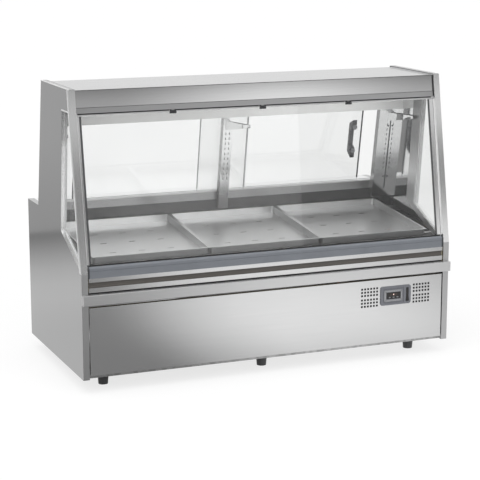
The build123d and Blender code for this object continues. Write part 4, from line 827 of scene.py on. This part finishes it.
def markJoint():
    low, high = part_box("upper_glass_rail")
    rail = corners("upper_glass_rail")
    front = edgeAt(rail, high.z, min) - jointLook["proud"]
    back, tall, short = front + jointLook["deep"], jointLook["tall"], jointLook["short"]
    outline = [
        (front + short, high.z - tall / 2), (back, high.z - tall / 2), (back, high.z + tall / 2),
        (front + short, high.z + tall / 2), (front, high.z + tall / 4), (front, high.z - tall / 4)]
    bm = bmesh.new()
    drawOut(bm, outline, low.x, high.x)
    foot = min(rail, key=lambda p: p.y)
    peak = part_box("canopy_top")[1].z
    crown = min((p for p in corners("canopy_top") if p.z > peak - sameHeight), key=lambda p: p.y)
    rod(bm, (low.x, crown.y, crown.z), (high.x, crown.y, crown.z), jointLook["ridge"], jointLook["sides"])
    along = Vector((0, crown.y - foot.y, crown.z - foot.z))
    out = Vector((0, -along.z, along.y)).normalized()
    end, rise, off = read(jointLook, "end", "rise", "off")
    rim = [(0, off), (end, off), (end, rise / 2), (end / 2, rise), (0, rise)]
    start = Vector((0, foot.y, foot.z))
    for way in (-1, 1):
        drawAlong(bm, [(way * (high.x - x), depth) for x, depth in rim], start, along, out)
    addPiece("fascia_joint", bm, finishes["black_rubber"], "case")


# two dark screws in each upright, at these drops below its head
uprightScrew = {"radius": 0.0045, "height": 0.002, "sides": 12, "inset": 0.011, "drops": (0.10, 0.36)}


def fixUprights():
    bm = bmesh.new()
    for name in ("rear_upright_left", "rear_upright_right"):
        for drop in uprightScrew["drops"]:
            seat = onFace(name, uprightScrew["inset"], drop / math.cos(lean))
            screwHead(bm, seat - leanBack * uprightScrew["height"] / 2, -leanBack, uprightScrew)
    addPiece("upright_screws", bm, finishes["black_paint"], "case", smooth=40)


# screws along the upper and lower edges of the rear panel
rearScrew = {"radius": 0.0045, "height": 0.0025, "sides": 12, "inset": 0.02, "count": 5}


def fixRear():
    low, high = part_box("rear_panel")
    inset, count = read(rearScrew, "inset", "count")
    bm = bmesh.new()
    for n in range(count):
        x = low.x + inset + (high.x - low.x - 2 * inset) * n / (count - 1)
        for z in (low.z + inset, high.z - inset):
            screwHead(bm, (x, high.y + rearScrew["height"] / 2, z), Vector((0, 1, 0)), rearScrew)
    addPiece("rear_screws", bm, plated("screw_zinc"), "case", smooth=40)


# raised rim round the display on the control housing
rimLook = {"middle": (0.6068, 0.3045), "half": (0.0475, 0.0270), "corner": 0.006, "segments": 4,
           "wide": 0.0095, "tall": 0.0012, "aside": 0.002, "off": 0.0001}


def rimControl():
    face = min(p.y for p in corners("control_housing"))
    bm = plane(rimLook["half"])
    bmesh.ops.bevel(
        bm, geom=bm.verts[:], offset=rimLook["corner"], segments=rimLook["segments"], profile=0.5,
        affect="VERTICES", material=-1)
    plate = bm.faces[:]
    ring = insetRing(bm, plate, rimLook["wide"])
    bmesh.ops.translate(bm, vec=(rimLook["aside"], 0, 0), verts=plate[0].verts[:])
    bmesh.ops.delete(bm, geom=plate, context="FACES")
    made = bmesh.ops.extrude_face_region(bm, geom=ring)
    bmesh.ops.translate(bm, vec=(0, 0, rimLook["tall"]), verts=newVerts(made))
    bmesh.ops.rotate(bm, matrix=stood, verts=bm.verts)
    x, z = rimLook["middle"]
    bmesh.ops.translate(bm, vec=(x, face - rimLook["off"], z), verts=bm.verts)
    addPiece("control_rim", bm, moulded("rim_grey"), "case")


# smoked window over the thermostat display
windowLook = {"half": (0.0212, 0.0064), "rise": 0.005, "sink": 0.0005, "thick": 0.0008, "bevel": 0.0006,
              "segments": 3, "tone": (0.050, 0.036, 0.030), "gains": (0.9, 1.1), "grain": 60.0,
              "rough": (0.08, 0.14)}


def displayMiddle():
    low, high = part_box("thermostat")
    middle = (low + high) / 2
    return Vector((middle.x, low.y + windowLook["sink"], middle.z + windowLook["rise"]))


def glazeDisplay():
    finish, tree, shader = newFinish("smoked_window")
    tint = noise(tree, objectMap(tree), windowLook["grain"], detail=2.0)
    feed(shader, {
        "Base Color": vary(tree, tint, windowLook["tone"], windowLook["gains"]),
        "Roughness": span(tree, tint, *windowLook["rough"]),
    })
    wide, tall = windowLook["half"]
    thick, bevel = read(windowLook, "thick", "bevel")
    bm = bmesh.new()
    bmesh.ops.create_cube(bm, size=1.0)
    bmesh.ops.scale(bm, vec=(wide * 2, thick, tall * 2), verts=bm.verts)
    through = [e for e in bm.edges if abs((e.verts[0].co - e.verts[1].co).y) > thick / 2]
    bmesh.ops.bevel(
        bm, geom=through, offset=bevel * 2, segments=windowLook["segments"], profile=0.5,
        affect="EDGES", material=-1)
    front = min(bm.faces, key=lambda face: face.calc_center_median().y)
    bmesh.ops.inset_region(bm, faces=[front], thickness=bevel, depth=thick / 4)
    bmesh.ops.translate(bm, vec=displayMiddle() - Vector((0, thick / 2, 0)), verts=bm.verts)
    addPiece("display_window", bm, finish, "case")


# one small lit dot in the window, its dome in shares of the radius
dotLook = {"radius": 0.0027, "tone": (1.0, 0.62, 0.50), "gains": (0.85, 1.0), "grain": 900.0, "glow": 1.2,
           "dome": (0.35, 0.28), "shoulder": 0.6, "ahead": 1.3, "steps": 16}


def lightDot():
    finish, tree, shader = newFinish("display_dot")
    glint = noise(tree, objectMap(tree), dotLook["grain"], detail=2.0)
    feed(shader, {
        "Emission Color": vary(tree, glint, dotLook["tone"], dotLook["gains"]),
        "Emission Strength": dotLook["glow"],
    })
    radius = dotLook["radius"]
    middle, side = (radius * share for share in dotLook["dome"])
    profile = [(0, middle), (radius * dotLook["shoulder"], side), (radius, 0), (0, 0)]
    place = displayMiddle() - Vector((0, windowLook["thick"] * dotLook["ahead"], 0))
    bm = bmesh.new()
    turned(bm, profile, place, (0, -1, 0), dotLook["steps"])
    addPiece("display_dot", bm, finish, "case", smooth=50)


lineGroove()
shadeApronGap()
backVents()
capHandle()
trimDoors()
borderGlass()
lineWindows()
frameWindows()
backSlots()
markUprights()
beadEdges()
markJoint()
fixUprights()
fixRear()
rimControl()
glazeDisplay()
lightDot()
print("detail pieces added")


def hang(name, bm, finish):
    mesh = bpy.data.meshes.new(name)
    bm.to_mesh(mesh)
    bm.free()
    mesh.materials.append(finish)
    made = bpy.data.objects.new(name, mesh)
    bpy.context.scene.collection.objects.link(made)
    return made


def glow(tree, strength):
    made = addNode(tree, "ShaderNodeEmission")
    feed(made, {"Strength": strength})
    return made.outputs["Emission"]


# floor: white to the camera and through glass, a studio in greys to reflections
floorLook = {
    "half": (30.0, 30.0),
    "tone": (0.40, 0.26),  # to bounced light, to the eye
    "lift": 0.755,
    "split": (-0.92, 0.4),  # left end, rear
    "width": (-1.5, 2.1),
    "across": [(0.208, 0.26), (0.30, 0.25), (0.333, 0.36), (0.375, 0.60), (0.417, 0.77), (0.458, 0.91),
               (0.50, 1.03), (0.667, 1.02), (0.75, 0.89), (0.819, 0.75), (0.847, 0.67), (0.917, 0.59),
               (1.0, 0.55)],
    "reach": (-2.6, -0.6),
    "along": [(0.05, 0.72), (0.20, 0.79), (0.35, 0.97), (0.50, 1.04), (0.625, 1.03), (0.725, 0.99),
              (0.825, 0.91), (0.91, 0.80), (0.975, 0.72)],
    "slant": (-2.35, -1.5, -0.26, 0.0),
    "low": 0.26,
    "behind": (0.7, 3.3, 0.68, 0.48),
    "depth": (0.5, 3.1),
    "beside": [(0.05, 0.61), (0.17, 0.625), (0.31, 0.655), (0.44, 0.645), (0.59, 0.57), (0.75, 0.43),
               (0.95, 0.245)],
}


# reflections see the floor darker before the left end and close to the front, lighter to the right
def mirroredFloor(tree):
    place = placeOf(tree)
    low = floorLook["low"]
    shifted = combine(tree, "ADD", place["X"], remap(tree, place["Y"], *floorLook["slant"]))
    before = levels(tree, remap(tree, shifted, *floorLook["width"], 0, 1), floorLook["across"])
    along = levels(tree, remap(tree, place["Y"], *floorLook["reach"], 0, 1), floorLook["along"])
    before = combine(tree, "MULTIPLY", combine(tree, "SUBTRACT", before, low), along)
    before = combine(tree, "ADD", before, low)
    behind = remap(tree, place["Y"], *floorLook["behind"])
    beside = levels(tree, remap(tree, place["Y"], *floorLook["depth"], 0, 1), floorLook["beside"])
    left, rear = floorLook["split"]
    level = either(tree, combine(tree, "GREATER_THAN", place["Y"], rear), before, behind)
    return either(tree, combine(tree, "LESS_THAN", place["X"], left), level, beside)


def layFloor():
    finish, tree, shader = newFinish("floor_white")
    tree.nodes.remove(shader)
    path = addNode(tree, "ShaderNodeLightPath")
    seen = combine(tree, "MAXIMUM", path.outputs["Is Camera Ray"], path.outputs["Is Transmission Ray"])
    matt = addNode(tree, "ShaderNodeBsdfDiffuse")
    feed(matt, {"Color": remap(tree, seen, 0, 1, *floorLook["tone"])})
    both = addNode(tree, "ShaderNodeAddShader")
    feed(both, {0: matt.outputs["BSDF"], 1: glow(tree, combine(tree, "MULTIPLY", seen, floorLook["lift"]))})
    bounced = combine(tree, "SUBTRACT", path.outputs["Is Glossy Ray"], path.outputs["Is Transmission Ray"])
    pick = addNode(tree, "ShaderNodeMixShader")
    feed(pick, {"Fac": bounced, 1: both.outputs["Shader"], 2: glow(tree, mirroredFloor(tree))})
    feed(tree.nodes["Material Output"], {"Surface": pick.outputs["Shader"]})
    hang("floor", plane(floorLook["half"]), finish)


# walls that only reflections see: a ramp along x below, a level with one bright column above
wallSet = [
    {"name": "wallFront", "middle": (0.5, -2.6, 1.6), "half": (5.0, 1.6), "width": (-1.5, 2.5),
     "below": [(0.25, 0.12), (0.355, 0.16), (0.405, 0.95), (0.55, 0.85), (0.70, 0.80), (0.83, 0.60)],
     "change": (1.35, 1.65), "above": 0.61, "column": (1.15, 1.15, 0.72), "fade": (1.80, 1.87, 1.0, 0.36),
     "foot": (0.80, 1.08, 0.14, 0.0), "flank": (1.85, 2.05), "crown": (1.69, 1.75), "tall": (0.0, 1.8),
     "rise": [(0.2, 0.35), (0.4, 0.80), (0.472, 0.92), (0.517, 0.76), (0.556, 0.21), (0.722, 0.16),
              (0.80, 0.23), (0.878, 0.74), (0.944, 0.86)]},
    {"name": "wallLeft", "middle": (-3.4, 3.1, 1.5), "half": (2.4, 1.5), "width": (-6.0, -1.0),
     "below": [(0.0, 0.40), (1.0, 0.40)], "change": (0.0, 0.75), "above": 0.475, "column": (-3.4, 2.0, 0.0),
     "fade": (2.4, 3.0, 1.0, 1.0)},
]


def wallFinish(wall):
    finish, tree, shader = newFinish(wall["name"])
    tree.nodes.remove(shader)
    place = placeOf(tree)
    below = levels(tree, remap(tree, place["X"], *wall["width"], 0, 1), wall["below"])
    middle, reach, gain = wall["column"]
    away = combine(tree, "ABSOLUTE", combine(tree, "SUBTRACT", place["X"], middle), 0)
    above = remap(tree, away, 0, reach, wall["above"] + gain, wall["above"], "SMOOTHSTEP")
    above = combine(tree, "MULTIPLY", above, remap(tree, place["Z"], *wall["fade"]))
    level = either(tree, remap(tree, place["Z"], *wall["change"], 0, 1, "SMOOTHSTEP"), below, above)
    if "flank" in wall:
        # lighter near the floor, and a tall dark panel past the right end
        level = combine(tree, "ADD", level, remap(tree, place["Z"], *wall["foot"]))
        panel = levels(tree, remap(tree, place["Z"], *wall["tall"], 0, 1), wall["rise"])
        past = remap(tree, place["X"], *wall["flank"], 0, 1)
        under = remap(tree, place["Z"], *wall["crown"], 1, 0)
        level = either(tree, combine(tree, "MULTIPLY", past, under), level, panel)
    feed(tree.nodes["Material Output"], {"Surface": glow(tree, level)})
    return finish


def raiseWalls():
    for wall in wallSet:
        bm = plane(wall["half"])
        bmesh.ops.rotate(bm, matrix=stood, verts=bm.verts)
        bmesh.ops.translate(bm, vec=wall["middle"], verts=bm.verts)
        made = hang(wall["name"], bm, wallFinish(wall))
        for ray in ("camera", "diffuse", "transmission", "shadow", "volume_scatter"):
            setattr(made, "visible_" + ray, False)


# soft light from above and from the front, kept out of the reflections
lightLook = {
    "ambient": 0.55,
    "sun": {"power": 1.4, "spread": 60.0, "aim": (0.30, 0.28, -0.9)},
    "fill": {"power": 70.0, "size": 3.6, "place": (0.6, -5.2, 2.4), "target": (0, 0, 0.7)},
}


def lightWorld():
    world = bpy.data.worlds.new("studio")
    world.use_nodes = True
    bpy.context.scene.world = world
    tree = world.node_tree
    path = addNode(tree, "ShaderNodeLightPath")
    clear = combine(tree, "MAXIMUM", path.outputs["Is Camera Ray"], path.outputs["Is Transmission Ray"])
    white = combine(tree, "MAXIMUM", clear, path.outputs["Is Glossy Ray"])
    strength = remap(tree, white, 0, 1, lightLook["ambient"], 1.0)
    feed(tree.nodes["Background"], {"Color": (1, 1, 1, 1), "Strength": strength})


def aimed(direction):
    return Vector(direction).to_track_quat("-Z", "Y").to_euler()


def hangLamps():
    sun, fill = lightLook["sun"], lightLook["fill"]
    sky = bpy.data.lights.new("skyLight", "SUN")
    sky.energy = sun["power"]
    sky.angle = math.radians(sun["spread"])
    skyLight = bpy.data.objects.new("skyLight", sky)
    skyLight.rotation_euler = aimed(sun["aim"])
    soft = bpy.data.lights.new("frontFill", "AREA")
    soft.energy = fill["power"]
    soft.size = fill["size"]
    frontFill = bpy.data.objects.new("frontFill", soft)
    frontFill.location = fill["place"]
    frontFill.rotation_euler = aimed(Vector(fill["target"]) - Vector(fill["place"]))
    for lamp in (skyLight, frontFill):
        lamp.visible_glossy = False
        bpy.context.scene.collection.objects.link(lamp)


layFloor()
raiseWalls()
lightWorld()
hangLamps()
print("stage ready")

# camera at the viewing angle of the picture, for a square image
viewLook = {"place": (-2.7525, -6.6465, 2.0437), "down": 11.83, "turn": -22.55, "lens": 116.43,
            "sensor": 36.0}
eye = bpy.data.objects.new("eye", bpy.data.cameras.new("eye"))
eye.location = viewLook["place"]
eye.rotation_euler = (math.radians(90 - viewLook["down"]), 0, math.radians(viewLook["turn"]))
eye.data.lens = viewLook["lens"]
eye.data.sensor_width = viewLook["sensor"]
bpy.context.scene.collection.objects.link(eye)
bpy.context.scene.camera = eye
bpy.context.scene.view_settings.view_transform = "Standard"

print("scene ready")
